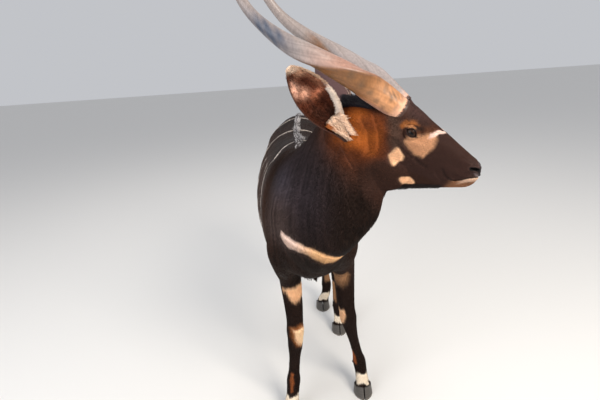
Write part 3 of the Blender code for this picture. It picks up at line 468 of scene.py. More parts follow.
# From the back of the skull to the nose: x, top, bottom, half width of the top, height of the
# widest place, half width there, height of the jaw's side, half width there
HEAD_ROWS = [
    (-0.250, -0.055, -0.115, 0.008, -0.085, 0.014, -0.100, 0.010),
    (-0.238, -0.030, -0.145, 0.018, -0.083, 0.036, -0.120, 0.028),
    (-0.215, -0.008, -0.175, 0.028, -0.080, 0.054, -0.138, 0.042),
    (-0.185, 0.007, -0.195, 0.034, -0.080, 0.066, -0.150, 0.052),
    (-0.140, 0.018, -0.226, 0.040, -0.075, 0.072, -0.155, 0.056),
    (-0.090, 0.042, -0.234, 0.050, -0.055, 0.073, -0.155, 0.057),
    (-0.045, 0.063, -0.232, 0.054, -0.030, 0.072, -0.150, 0.054),
    (0.000, 0.057, -0.218, 0.048, -0.030, 0.067, -0.140, 0.047),
    (0.050, 0.043, -0.196, 0.037, -0.030, 0.056, -0.126, 0.039),
    (0.100, 0.032, -0.170, 0.029, -0.032, 0.045, -0.110, 0.032),
    (0.150, 0.018, -0.143, 0.025, -0.036, 0.038, -0.098, 0.028),
    (0.190, 0.007, -0.119, 0.025, -0.040, 0.036, -0.090, 0.027),
    (0.220, -0.002, -0.100, 0.026, -0.042, 0.035, -0.080, 0.025),
    (0.238, -0.012, -0.086, 0.020, -0.044, 0.028, -0.072, 0.018),
    (0.249, -0.028, -0.068, 0.008, -0.046, 0.012, -0.060, 0.008),
]
# Centre in the head's frame, radius, height; the pairs are made on both sides
HEAD_SWELLS = [
    ((-0.002, 0.070, 0.026), (0.026, 0.020, 0.014), 0.0090),
    ((0.030, 0.066, -0.022), (0.030, 0.020, 0.012), 0.0045),
    ((-0.050, 0.074, -0.030), (0.050, 0.020, 0.014), 0.0060),
    ((0.055, 0.052, 0.004), (0.032, 0.018, 0.020), -0.0045),
    ((-0.070, 0.066, -0.120), (0.055, 0.030, 0.045), 0.0090),
    ((0.060, 0.048, -0.075), (0.045, 0.020, 0.026), -0.0040),
    ((0.224, 0.026, -0.020), (0.020, 0.016, 0.018), 0.0060),
    ((0.205, 0.034, -0.058), (0.036, 0.014, 0.012), 0.0040),
    ((0.205, 0.028, -0.090), (0.030, 0.016, 0.012), 0.0030),
    ((-0.115, 0.050, 0.036), (0.040, 0.020, 0.020), -0.0050),
]
JOWL = (Vector((-0.040, 0.028, -0.150)), Vector((0.105, 0.044, 0.078)))   # centre, radii
EAR_ROOT = Vector((-0.168, 0.070, -0.090))
EAR_TIP = Vector((-0.392, 0.165, 0.034))
EAR_FACE = Vector((0.250, 1.000, 0.150))


def head_matrix():
    """The head's frame in the animal's."""
    turn = Matrix.Rotation(-math.pi / 2 + HEAD_TURN, 3, "Z")
    drop = Matrix.Rotation(HEAD_DROP, 3, "Y")
    tilt = Matrix.Rotation(HEAD_TILT, 3, "X")
    return Matrix.Translation(HEAD_AT) @ (turn @ drop @ tilt).to_4x4()


HEAD = head_matrix()


def both(point, side):
    """A point or vector of the head's left, on the given side."""
    return Vector((point[0], point[1] * HAND[side], point[2]))


def head_loft():
    rings = []
    for x, top, low, flat, wide_z, wide, jaw_z, jaw in between(HEAD_ROWS, 40):
        half = [(0.0, top), (flat * 0.6, top - 0.0015), (flat, top - 0.006),
                (wide * 0.97, (top + wide_z) / 2 + 0.004), (wide, wide_z),
                ((wide + jaw) / 2 + 0.002, (wide_z + jaw_z) / 2), (jaw, jaw_z),
                (jaw * 0.62, (jaw_z + low) / 2 - 0.006), (0.0, low)]
        outline = half + [(-y, z) for y, z in reversed(half[1:-1])]
        ring = between(outline + [outline[0]], 41)[:-1]
        rings.append([Vector((x, y, z)) for y, z in ring])
    return loft(rings)


EYE_AT = Vector((0.000, 0.0600, 0.000))
EYE_OPEN = (0.0165, 0.0118)      # half length and half height of the opening
EYE_SLANT = math.radians(-8)     # its front corner is lower

# The cuts between head and neck and between neck and trunk: a point and the way forward
HEAD_BASE = (Vector((-0.104, 0, -0.180)), Vector((0.500, 0, 0.866)).normalized())
NECK_BASE = (Vector((0.030, -0.475, 1.040)), Vector((0.10, -0.86, 0.50)).normalized())
# The middle of the horn from foot to tip, in the head's frame, and its half width there
HORN_LINE = [
    (-0.052, 0.041, 0.038), (-0.130, 0.062, 0.055), (-0.220, 0.096, 0.073),
    (-0.330, 0.126, 0.084), (-0.440, 0.140, 0.090), (-0.550, 0.132, 0.115),
    (-0.640, 0.116, 0.168), (-0.714, 0.108, 0.236), (-0.764, 0.114, 0.318),
]
HORN_WIDTHS = [0.0325, 0.0360, 0.0375, 0.0310, 0.0220, 0.0165, 0.0125, 0.0085, 0.0025]
# Along the ear: share of its length, radius, half of its arc in degrees, depth of the cup
EAR_ROWS = [
    (-0.10, 0.020, 150, 0.020),
    (0.00, 0.024, 146, 0.024),
    (0.10, 0.030, 122, 0.030),
    (0.22, 0.041, 98, 0.036),
    (0.36, 0.053, 80, 0.037),
    (0.50, 0.060, 70, 0.033),
    (0.65, 0.060, 63, 0.026),
    (0.80, 0.051, 56, 0.017),
    (0.92, 0.034, 48, 0.008),
    (1.00, 0.012, 40, 0.001),
]
# Muscles, joints and hollows of the body: centre, radius, height
BODY_SWELLS = [
    ((-0.160, -0.480, 0.850), (0.060, 0.060, 0.080), 0.008),
    ((0.180, -0.470, 0.850), (0.060, 0.060, 0.080), 0.008),
    ((-0.165, -0.270, 0.800), (0.060, 0.060, 0.090), 0.008),
    ((0.185, -0.250, 0.800), (0.060, 0.060, 0.090), 0.008),
    ((-0.190, -0.150, 0.740), (0.070, 0.060, 0.120), -0.008),
    ((0.200, -0.150, 0.740), (0.070, 0.060, 0.120), -0.008),
    ((0.030, -0.600, 0.820), (0.060, 0.060, 0.060), 0.006),
    ((-0.215, 0.300, 0.930), (0.080, 0.100, 0.130), -0.014),
    ((0.215, 0.270, 0.930), (0.080, 0.100, 0.130), -0.014),
    ((-0.140, 0.430, 1.160), (0.080, 0.080, 0.060), 0.010),
    ((0.150, 0.430, 1.160), (0.080, 0.080, 0.060), 0.010),
    ((-0.170, 0.560, 0.900), (0.070, 0.110, 0.130), 0.010),
    ((0.190, 0.540, 0.900), (0.070, 0.110, 0.130), 0.010),
    ((0.010, 0.770, 0.980), (0.040, 0.060, 0.160), -0.010),
    ((0.070, -0.640, 1.160), (0.060, 0.060, 0.120), 0.008),
    ((-0.084, -0.386, 0.345), (0.060, 0.060, 0.050), 0.006),
    ((-0.094, -0.380, 0.235), (0.060, 0.060, 0.090), 0.003),
]

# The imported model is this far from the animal's own frame
low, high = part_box("eye_left")
SHIFT = (low + high) / 2 - HEAD @ EYE_AT
HEAD_TURNED = np.array(HEAD.to_3x3())


def to_head(places):
    """Places of the animal's frame in the head's frame."""
    return (places - np.array(HEAD_AT)) @ HEAD_TURNED


def from_eye(local, hand):
    """Places of the head's frame, seen from the middle of one eye."""
    return local - np.array((EYE_AT.x, EYE_AT.y * hand, EYE_AT.z))


# Lines of the face: x and z in the head's frame
MOUTH_LINE = [(0.264, -0.040), (0.236, -0.045), (0.222, -0.052), (0.211, -0.061),
              (0.200, -0.073), (0.188, -0.082), (0.174, -0.086)]
NOSTRIL_LINE = [(0.2425, -0.031), (0.238, -0.0235), (0.229, -0.0205), (0.219, -0.0215),
                (0.209, -0.0255)]
# Folds of the face: the line, its depth and its width
FOLDS = [
    ([(0.176, -0.086), (0.159, -0.083), (0.148, -0.076), (0.140, -0.068)], 0.0022, 0.0040),
    ([(0.165, -0.103), (0.145, -0.098), (0.128, -0.088)], 0.0016, 0.0034),
    ([(0.052, -0.070), (0.069, -0.078), (0.090, -0.080)], 0.0018, 0.0055),
    ([(0.036, -0.018), (0.052, -0.030), (0.070, -0.038)], 0.0005, 0.0060),
    ([(0.206, -0.012), (0.190, -0.006), (0.172, -0.010)], 0.0014, 0.0045),
    ([(-0.040, -0.040), (0.010, -0.062), (0.050, -0.072)], 0.0016, 0.0065),
    ([(-0.185, -0.132), (-0.150, -0.148), (-0.105, -0.172)], 0.0022, 0.0042),
    ([(-0.176, -0.150), (-0.140, -0.166), (-0.100, -0.192)], 0.0020, 0.0042),
    ([(-0.190, -0.112), (-0.160, -0.128), (-0.125, -0.140)], 0.0016, 0.0040),
    ([(-0.150, -0.030), (-0.115, -0.055), (-0.090, -0.095)], 0.0022, 0.0080),
    ([(-0.115, -0.010), (-0.085, -0.040), (-0.062, -0.085)], 0.0018, 0.0070),
]


def mouth_height(x):
    """Height of the mouth's line at places along the head."""
    return np.interp(x, [p[0] for p in MOUTH_LINE[::-1]], [p[1] for p in MOUTH_LINE[::-1]])


# The skin

def ear_frame(side):
    axis = (EAR_TIP - EAR_ROOT)
    length = axis.length
    axis = axis.normalized()
    face = (EAR_FACE - axis * EAR_FACE.dot(axis)).normalized()
    wide = face.cross(axis).normalized()
    if wide.z < 0:
        wide = -wide
    return both(EAR_ROOT, side), both(axis, side), both(face, side), both(wide, side), length


def ear_stem(side, girths):
    """A round stem on the ear's axis: shares of its length and radii."""
    root, axis, face, wide, length = ear_frame(side)
    rings = []
    for share, half in girths:
        middle = root + axis * (share * length)
        rings.append([middle + wide * half * across + face * half * up
                      for across, up in circle(16)])
    return loft(rings)


def ear_root(side):
    """The swelling of the head that the ear stands in."""
    return ear_stem(side, ((-0.26, 0.034), (-0.14, 0.037), (-0.07, 0.033), (-0.02, 0.018)))


def horn_root(side):
    """The swelling of the brow that the horn stands in."""
    first, second = Vector(HORN_LINE[0]), Vector(HORN_LINE[1])
    along = (second - first).normalized()
    rings = []
    for step, half in ((-0.030, 0.028), (-0.012, 0.035), (0.002, 0.035), (0.010, 0.032)):
        ring = []
        for across, up in circle(16):
            point = first + along * step + Vector((0, 1, 0)) * half * 0.9 * across
            point += Vector((0, 0, 1)) * half * up
            ring.append(both(point, side))
        rings.append(ring)
    return loft(rings)


def body_flesh():
    """Trunk, neck and legs in one skin."""
    bulk = [trunk_loft(), neck_loft(), moved(head_loft(), HEAD), scrotum()]
    bulk += [blob(centre, radii) for centre, radii in ARMPITS]
    bulk += [form(side) for form in (shoulder, thigh) for side in SIDES]
    slender = [sheath()]
    for side in SIDES:
        slender.append(limb(leg_joints(FORE_JOINTS[side], FORE_HOOVES[side]), FORE_GIRTHS, 60))
        slender.append(limb(leg_joints(HIND_JOINTS[side], HIND_HOOVES[side]), HIND_GIRTHS, 60))
        slender.append(heel_cord(side))
    skin = melted([melted(bulk, FLESH_VOXEL, 14)] + slender, FLESH_VOXEL, 4)
    return swelled(skin, BODY_SWELLS)


def head_flesh():
    """Skull, jaws and the top of the neck, in the animal's frame."""
    neck = moved(neck_loft(), HEAD.inverted())
    roots = [horn_root(side) for side in SIDES]
    ears = [ear_root(side) for side in SIDES]
    jowls = [blob(both(JOWL[0], side), JOWL[1]) for side in SIDES]
    skin = melted([head_loft(), neck] + roots + ears + jowls, HEAD_VOXEL, 14)
    swells = [(both(centre, side), radius, height) for centre, radius, height in HEAD_SWELLS
              for side in SIDES]
    return moved(swelled(skin, swells), HEAD)


def inset(mesh):
    """The mesh drawn in, to leave room for the coat."""
    return set_places(mesh, vertex_places(mesh) - vertex_normals(mesh) * COAT_DEPTH)


def ramp(low, high, value):
    """0 at `low`, 1 at `high` and a smooth curve between them."""
    t = np.clip((value - low) / (high - low), 0, 1)
    return t * t * (3 - 2 * t)


def fall(low, high, value):
    """1 at `low` and 0 at `high`."""
    return 1 - ramp(low, high, value)


def head_side(places):
    """How far in front of the cut between neck and head."""
    point, normal = HEAD_BASE
    return (to_head(places) - np.array(point)) @ np.array(normal)


def neck_side(places):
    """How far in front of the cut between trunk and neck."""
    point, normal = NECK_BASE
    return (places - np.array(point)) @ np.array(normal)


def thinned(mesh):
    """Fewer triangles, most of all away from the head."""
    thing = helper(mesh, "thin")
    places = vertex_places(mesh)
    weights = 1 - 0.93 * ramp(-0.02, 0.06, head_side(places))
    group = thing.vertex_groups.new(name="plain")
    for level in range(1, 11):
        chosen = np.nonzero(np.round(weights * 10).astype(int) == level)[0]
        group.add(chosen.tolist(), level / 10, "REPLACE")
    fewer = thing.modifiers.new("fewer", "DECIMATE")
    fewer.vertex_group = "plain"
    fewer.ratio = SKIN_TRIANGLES / sum(len(face.vertices) - 2 for face in mesh.polygons)
    fewer.use_collapse_triangulate = True
    return applied(thing)


def finer(mesh, spots):
    """Smaller faces within each spot: centre and radius in the head's frame."""
    shape = bmesh.new()
    shape.from_mesh(mesh)
    for centre, radius in spots:
        middle = HEAD @ Vector(centre)
        near = [edge for edge in shape.edges
                if all((vert.co - middle).length < radius for vert in edge.verts)]
        bmesh.ops.subdivide_edges(shape, edges=near, cuts=1, use_grid_fill=True)
    bmesh.ops.triangulate(shape, faces=shape.faces)
    shape.to_mesh(mesh)
    shape.free()
    return mesh


def line_distance(points, line):
    """Distance of 2-D points from a line of points, and the nearest place along it (0 to 1)."""
    best = np.full(len(points), 1e9)
    place = np.zeros(len(points))
    line = np.array(line, float)
    steps = len(line) - 1
    for i in range(steps):
        start, run = line[i, :2], line[i + 1, :2] - line[i, :2]
        t = np.clip((points - start) @ run / (run @ run), 0, 1)
        away = np.linalg.norm(points - start - t[:, None] * run, axis=1)
        nearer = away < best
        best[nearer] = away[nearer]
        place[nearer] = (i + t[nearer]) / steps
    return best, place


def almond(off):
    """0 in the middle of the eye's opening, 1 on its rim, and whether it is above the middle."""
    turn, back = math.cos(EYE_SLANT), math.sin(EYE_SLANT)
    along = (off[:, 0] * turn + off[:, 2] * back) / EYE_OPEN[0]
    high = (-off[:, 0] * back + off[:, 2] * turn) / EYE_OPEN[1]
    high = high + 0.10 * along
    rim = np.abs(along) ** 2.2 + np.abs(np.where(high < 0, high / 0.74, high))
    return rim, high > 0


def lid_height(off):
    """How far out of the eye's middle the lids lie, and how strongly that holds."""
    rim, above = almond(off)
    flat = np.hypot(off[:, 0], off[:, 2])
    inside = np.sqrt(np.maximum((EYE_RADIUS - EYE_SUNK) ** 2 - flat ** 2, 1e-6))
    reach = EYE_RADIUS + 0.0020 + np.where(above, 0.0020, 0.0012) * ramp(1.0, 1.3, rim)
    lid = np.sqrt(np.maximum(reach ** 2 - flat ** 2, 9e-6))
    height = inside + (lid - inside) * ramp(0.90, 0.99, rim)
    height += np.where(above, -0.0020, -0.0012) * np.exp(-((rim - 1.75) / 0.16) ** 2)
    height += np.where(above, 0.0012, 0.0008) * np.exp(-((rim - 2.15) / 0.20) ** 2)
    hold = fall(0.0170, 0.0270, np.hypot(off[:, 0] * 0.92, off[:, 2]))
    return height, hold


def carve_head(mesh):
    """Lids, mouth, nostrils and the folds of the face, moved into the skin."""
    places = vertex_places(mesh)
    normals = vertex_normals(mesh) @ HEAD_TURNED
    local = to_head(places)
    for hand in (1, -1):
        off = from_eye(local, hand)
        side = (off[:, 1] * hand > -0.025) & (np.hypot(off[:, 0], off[:, 2]) < 0.04)
        height, hold = lid_height(off[side])
        now = off[side][:, 1] * hand
        local[side, 1] += (height - now) * hold * hand
    front = local[:, 0] > 0.08
    flat = local[front][:, [0, 2]]
    away, place = line_distance(flat, MOUTH_LINE)
    signed = np.where(flat[:, 1] > mouth_height(flat[:, 0]), away, -away)
    open_end = fall(0.80, 1.0, place)
    groove = -0.0075 * np.exp(-(away / 0.0017) ** 2) * open_end
    upper = 0.0016 * np.exp(-((signed - 0.0052) / 0.0032) ** 2)
    lower = 0.0020 * np.exp(-((signed + 0.0052) / 0.0036) ** 2)
    corner = 0.0022 * np.exp(-((place - 0.98) / 0.10) ** 2 - (away / 0.009) ** 2)
    local[front] += normals[front] * (groove + (upper + lower) * open_end + corner)[:, None]
    flat = local[:, [0, 2]]
    away, place = line_distance(flat, NOSTRIL_LINE)
    wide = np.interp(place, [0, 0.4, 0.8, 1.0], [0.0030, 0.0052, 0.0040, 0.0020])
    side = ramp(0.008, 0.013, np.abs(local[:, 1]))
    pit = -0.0100 * fall(0.55, 1.10, away / wide)
    rim = 0.0020 * np.exp(-((away - wide * 1.7) / 0.0022) ** 2)
    local += normals * ((pit + rim) * side)[:, None]
    flat = local[:, [0, 2]]
    for line, depth, width in FOLDS:
        away, _ = line_distance(flat, line)
        reach = depth * np.exp(-(away / width) ** 2) * ramp(-0.01, 0.01, head_side(places))
        local -= normals * reach[:, None]
    return set_places(mesh, local @ HEAD_TURNED.T + np.array(HEAD_AT))


def make_skin():
    """All the flesh in one skin, with folds on the neck, faint ribs and a carved face."""
    parts = [inset(flesh) for flesh in (body_flesh(), head_flesh(), tail_loft())]
    mesh = melted(parts, SKIN_VOXEL, 2)
    places = vertex_places(mesh)
    front = fall(-0.50, -0.34, places[:, 1]) * ramp(0.80, 0.95, places[:, 2])
    front *= fall(-0.06, 0.0, head_side(places))
    ribs = ramp(-0.25, -0.05, places[:, 1]) * fall(0.10, 0.35, places[:, 1])
    ribs *= ramp(0.72, 0.86, places[:, 2]) * fall(1.05, 1.18, places[:, 2])
    rise = 0.0022 * wobble(places * (1, 1, 0.22), 0.075, 4) * front
    rise += 0.0016 * np.sin((places[:, 1] + 0.25 * places[:, 2]) * 2 * math.pi / 0.062) * ribs
    set_places(mesh, places + vertex_normals(mesh) * rise[:, None])
    mesh = thinned(mesh)
    # Smaller faces round the eyes, twice, the nostrils and the mouth
    spots = []
    for hand in (1, -1):
        spots += [((0.0, 0.062 * hand, 0.0), 0.042), ((0.0, 0.066 * hand, 0.0), 0.027),
                  ((0.226, 0.030 * hand, -0.022), 0.026)]
    spots += [((0.200, 0.0, -0.062), 0.066)]
    return carve_head(finer(mesh, spots))


# Colours of the coat. All are linear.

def srgb(red, green, blue):
    value = np.array((red, green, blue)) / 255
    return np.where(value <= 0.04045, value / 12.92, ((value + 0.055) / 1.055) ** 2.4)


DARK = srgb(42, 28, 22)
CHEST_SHEEN = srgb(57, 48, 52)
BROWN = srgb(72, 46, 34)
RUFOUS = srgb(88, 50, 33)
FACE = srgb(62, 41, 35)
ORANGE = srgb(164, 88, 31)
ORANGE_DEEP = srgb(112, 56, 24)
BUFF = srgb(208, 155, 116)
BROW = srgb(148, 88, 44)
CREAM = srgb(240, 190, 148)
WHITE = srgb(242, 226, 204)
TAN = srgb(170, 126, 90)
STRIPE = srgb(246, 232, 220)
BLACK = srgb(24, 19, 19)
NOSE = srgb(58, 50, 52)
GRIZZLED = srgb(78, 58, 48)

WAVES = rng.normal(size=(14, 3))
WAVES /= np.linalg.norm(WAVES, axis=1)[:, None]
PHASES = rng.uniform(0, 2 * math.pi, 14)


def wobble(places, size, start=0):
    """Smooth unevenness from -1 to 1, `size` metres from crest to crest."""
    total = np.zeros(len(places))
    for i in range(5):
        k = (start + i) % 14
        total += np.sin(places @ WAVES[k] * (2 * math.pi / size) * (0.7 + 0.15 * i) + PHASES[k])
    return total / 2.6


def mixed(colour, other, share):
    return colour + (np.asarray(other) - colour) * np.clip(share, 0, 1)[:, None]


class Coat:
    """The colour at each of a set of places, laid on in layers."""

    def __init__(self, shade, count):
        self.colour = np.tile(shade, (count, 1))

    def lay(self, shade, share):
        self.colour = mixed(self.colour, shade, share)


def marked(coat, points, marks, edge, where):
    """Lays marks on the coat. Each is: mask, its points and softness, colour, strength and,
    for a patch, the radius of its corners."""
    for mask, outline, soft, shade, share, *corner in marks:
        coat.lay(shade, share * mask(points, outline, soft, edge, *corner) * where)


def band(points, rows, soft, edge=0.0):
    """1 within a band of varying half width: rows of two coordinates and the half width."""
    rows = np.array(rows, float)
    away, place = line_distance(points, rows)
    half = np.interp(place, np.linspace(0, 1, len(rows)), rows[:, 2])
    return fall(-soft, soft, away + edge - half)


def patch(points, outline, soft, edge=0.0, corner=0.0):
    """1 within a closed outline, with a soft border and corners of a given radius."""
    outline = np.array(outline, float)
    spokes = outline - outline.mean(axis=0)
    reach = np.linalg.norm(spokes, axis=1).mean()
    outline = outline - spokes * corner / reach
    edge = edge - corner
    inside = np.zeros(len(points), bool)
    for start, end in zip(outline, np.roll(outline, -1, axis=0)):
        crosses = (start[1] > points[:, 1]) != (end[1] > points[:, 1])
        rise = end[1] - start[1] if end[1] != start[1] else 1e-9
        at = (end[0] - start[0]) * (points[:, 1] - start[1]) / rise + start[0]
        inside ^= crosses & (points[:, 0] < at)
    away, _ = line_distance(points, np.vstack([outline, outline[:1]]))
    signed = np.where(inside, -away, away) + edge
    return fall(-soft, soft, signed)


# The pale crescent on the chest: x, z and half width
CRESCENT = [(-0.096, 0.966, 0.004), (-0.084, 0.946, 0.018), (-0.068, 0.931, 0.020),
            (-0.040, 0.925, 0.017), (-0.005, 0.920, 0.016), (0.030, 0.903, 0.020),
            (0.058, 0.887, 0.021), (0.082, 0.884, 0.017), (0.100, 0.889, 0.010),
            (0.116, 0.897, 0.002)]
# Pale stripes down the flanks: y at the back, where it starts and ends, and its lean
STRIPES = [(-0.215, 1.300, 0.760, 0.05), (-0.085, 1.130, 0.740, 0.03),
           (0.055, 1.125, 0.720, 0.00), (0.215, 1.300, 0.700, -0.02),
           (0.340, 1.150, 0.690, -0.05), (0.460, 1.300, 0.740, -0.08),
           (0.570, 1.160, 0.800, -0.09)]
STRIPE_HALF = 0.0044
BUFF_PATCH = [(-0.006, -0.012), (0.030, 0.000), (0.052, 0.014), (0.072, 0.022), (0.078, -0.010),
              (0.074, -0.040), (0.062, -0.056), (0.040, -0.057), (0.016, -0.047), (-0.006, -0.030)]
CHEEK_SPOT = [(-0.027, -0.090), (-0.016, -0.057), (-0.002, -0.066), (0.013, -0.079),
              (0.017, -0.092), (0.006, -0.103), (0.001, -0.118), (-0.012, -0.110),
              (-0.018, -0.100)]
CHEVRON = [(0.054, 0.049, 0.0030), (0.065, 0.040, 0.0048), (0.080, 0.024, 0.0050),
           (0.092, 0.004, 0.0042)]


def body_colour(places):
    """The coat before the markings: dark below and in front, browner on the sides, with a painted
    sheen on the chest, painted skylight on its right side and the painted shadow of the head on
    its left.
    """
    x, y, z = places.T
    coat = Coat(DARK, len(places))
    sides = ramp(0.10, 0.22, np.abs(x - 0.01)) * ramp(0.55, 0.85, z)
    coat.lay(BROWN, 0.85 * sides)
    front = fall(-0.56, -0.38, y)
    chest = np.exp(-((x + 0.01) / 0.10) ** 2 - ((z - 1.13) / 0.17) ** 2) * front
    coat.lay(CHEST_SHEEN, 0.9 * chest)
    under = np.exp(-((x - 0.17) / 0.06) ** 2 - ((z - 1.24) / 0.07) ** 2) * front
    coat.lay(RUFOUS, 0.55 * under)
    # Painted shadow of the turned head on the left of the chest and low neck
    shade = ramp(0.02, 0.14, x) * fall(1.10, 1.20, z) * front
    coat.lay(srgb(32, 21, 16), 0.85 * shade * ramp(0.80, 0.95, z))
    # Painted sheen of the sky on the right of the chest and shoulder, bluish higher up
    pale = fall(-0.13, -0.02, x) * front * ramp(0.86, 0.98, z)
    tone = mixed(np.tile(srgb(94, 77, 73), (len(places), 1)), srgb(86, 81, 91),
                 ramp(1.02, 1.16, z))
    coat.lay(tone, 0.8 * pale)
    coat.lay(srgb(31, 17, 11), 0.85 * fall(0.50, 0.74, z))
    coat.lay(srgb(36, 24, 19), 0.7 * (fall(0.80, 0.95, z) * front))
    streaks = wobble(places * (1, 1, 0.10), 0.022, 2) * ramp(0.70, 0.90, z)
    streaks += 0.6 * wobble(places * (1, 1, 0.06), 0.075, 9)
    coat.colour *= (1 + 0.26 * streaks * front + 0.10 * wobble(places, 0.19, 5))[:, None]
    return coat


def stripe_share(places):
    """1 within the pale stripes of the flanks."""
    _, y, z = places.T
    share = np.zeros(len(places))
    for k, (start, top, foot, lean) in enumerate(STRIPES):
        drop = 1.235 - z
        bend = -0.07 * np.exp(-((drop - 0.060) / 0.035) ** 2) if k == 0 else 0.012 * np.sin(
            drop * 21 + 1.7 * k)
        line = start + bend + lean * drop + 0.010 * np.sin(drop * 16 + 2.1 * k)
        within = ramp(foot, foot + 0.06, z) * fall(top - 0.02, top, z)
        half = STRIPE_HALF * (1 + 0.20 * np.sin(drop * 37 + k)) * (0.55 + 0.45 * within)
        away = np.abs(y - line) - half
        share = np.maximum(share, fall(-0.0012, 0.0012, away) * within)
    return share * ramp(-0.40, -0.34, y)


# Marks of the legs. On the forelegs they are seen from in front (x, z), on the hind legs from
# the side (y, z).
LEG_MARKS = {
    "fore_right": [
        (patch, [(-0.120, 0.618), (-0.096, 0.626), (-0.030, 0.630), (-0.028, 0.600),
                 (-0.040, 0.572), (-0.068, 0.560), (-0.086, 0.570), (-0.104, 0.596),
                 (-0.122, 0.610)], 0.008, srgb(250, 196, 150), 1),
        (patch, [(-0.096, 0.450), (-0.060, 0.456), (-0.030, 0.440), (-0.020, 0.345),
                 (-0.070, 0.350), (-0.094, 0.405)], 0.012, srgb(164, 98, 50), 0.8, 0.012),
        (patch, [(-0.090, 0.440), (-0.060, 0.440), (-0.020, 0.430), (-0.020, 0.370),
                 (-0.046, 0.350), (-0.068, 0.362), (-0.084, 0.400)], 0.010,
         srgb(252, 214, 172), 1),
        (band, [(-0.112, 0.190, 0.004), (-0.116, 0.145, 0.009), (-0.119, 0.105, 0.004)], 0.005,
         srgb(150, 84, 44), 0.85),
    ],
    "fore_left": [
        (patch, [(0.080, 0.650), (0.170, 0.652), (0.166, 0.630), (0.140, 0.598),
                 (0.104, 0.604)], 0.013, TAN, 0.75, 0.010),
        (patch, [(0.090, 0.474), (0.140, 0.478), (0.150, 0.455), (0.142, 0.415),
                 (0.128, 0.396), (0.090, 0.402)], 0.006, CREAM, 0.9),
        (band, [(0.178, 0.215, 0.004), (0.184, 0.185, 0.009), (0.190, 0.150, 0.004)], 0.005,
         srgb(160, 88, 46), 0.9),
    ],
    "hind_right": [
        (patch, [(0.44, 0.255), (0.60, 0.265), (0.60, 0.175), (0.44, 0.165)], 0.008, TAN, 0.85),
        (patch, [(0.52, 0.560), (0.66, 0.575), (0.66, 0.470), (0.55, 0.455)], 0.010, CREAM, 0.8),
    ],
    "hind_left": [
        (patch, [(0.20, 0.260), (0.38, 0.270), (0.38, 0.180), (0.20, 0.170)], 0.008, TAN, 0.85),
    ],
}
# Where the front of each foreleg lies: y at four heights
LEG_HEIGHTS = [0.05, 0.15, 0.44, 0.66]
LEG_FRONTS = {"right": [-0.413, -0.372, -0.388, -0.335], "left": [-0.313, -0.272, -0.318, -0.300]}


def leg_colour(places, coat):
    x, y, z = places.T
    edge = 0.004 * wobble(places, 0.035, 3) + 0.0025 * wobble(places, 0.012, 7)
    fore_right = (x < 0.03) & (y < -0.22) & (z < 0.70)
    fore_left = (x > 0.06) & (y < -0.13) & (z < 0.70) & ~fore_right
    for side, own in (("right", fore_right), ("left", fore_left)):
        facing = y - np.interp(z, LEG_HEIGHTS, LEG_FRONTS[side])
        front = fall(0.004, 0.022, facing) * own
        marked(coat, np.c_[x, z], LEG_MARKS["fore_" + side], edge, front)
    hind = (y > 0.0) & (z < 0.62)
    right = hind & (y > np.interp(z, [0.0, 0.6], [0.34, 0.42]))
    inward = ramp(0.098, 0.112, x) * right
    marked(coat, np.c_[y, z], LEG_MARKS["hind_right"], edge, inward)
    inward = fall(0.148, 0.160, x) * (hind & ~right)
    marked(coat, np.c_[y, z], LEG_MARKS["hind_left"], edge, inward)
    # The white above each hoof is two lobes in front
    for hooves in (FORE_HOOVES, HIND_HOOVES):
        for middle in hooves.values():
            near = np.hypot(x - middle.x, y - middle.y) < 0.085
            lobes = 0.010 * np.abs(np.sin((x - middle.x) * math.pi / 0.044))
            over = ramp(0.064, 0.071, z + 0.5 * lobes + edge)
            drop = 0.012 if middle is FORE_HOOVES["right"] else 0.0
            top = fall(0.090, 0.098, z + drop - 0.6 * lobes + edge)
            ahead = fall(0.020, 0.045, y - middle.y)
            coat.lay(WHITE, over * top * ahead * near * 0.97)


# Marks of the brow and the eye's corner, seen from the side (x, z in the head's frame)
DARK_STRIP = [(-0.085, 0.040, 0.014), (-0.060, 0.006, 0.018), (-0.040, -0.030, 0.020),
              (-0.018, -0.060, 0.016), (-0.010, -0.095, 0.012)]
TANNED = [(0.014, 0.008, 0.006), (0.030, 0.018, 0.010), (0.054, 0.026, 0.010),
          (0.068, 0.028, 0.006)]
EYE_MARKS = [
    (band, [(-0.035, 0.006, 0.005), (-0.028, 0.016, 0.008), (-0.014, 0.0240, 0.0095),
            (-0.001, 0.027, 0.007), (0.007, 0.026, 0.003)], 0.006, BROW, 0.95),
    (band, [(-0.022, 0.012, 0.003), (-0.010, 0.0175, 0.0045), (0.004, 0.019, 0.003)], 0.003,
     srgb(196, 136, 90), 0.75),
]
JAW_SPOT = [(0.046, -0.146, 0.010), (0.062, -0.149, 0.0145), (0.078, -0.152, 0.010)]
# The chestnut behind the cheek, brightest where painted sunlight falls on it: strength, then place
# and reach in x and z
CHESTNUT_AND_SUNLIGHT = [(1.00, -0.140, 0.075, -0.080, 0.066), (0.32, -0.105, 0.060, -0.020, 0.040),
         (0.22, -0.190, 0.060, -0.130, 0.050), (0.35, -0.075, 0.035, -0.088, 0.035),
         (0.50, -0.190, 0.040, -0.030, 0.028)]


def haze(u, w, at_u, reach_u, at_w, reach_w):
    """1 at a place of the face, fading with distance."""
    return np.exp(-((u - at_u) / reach_u) ** 2 - ((w - at_w) / reach_w) ** 2)


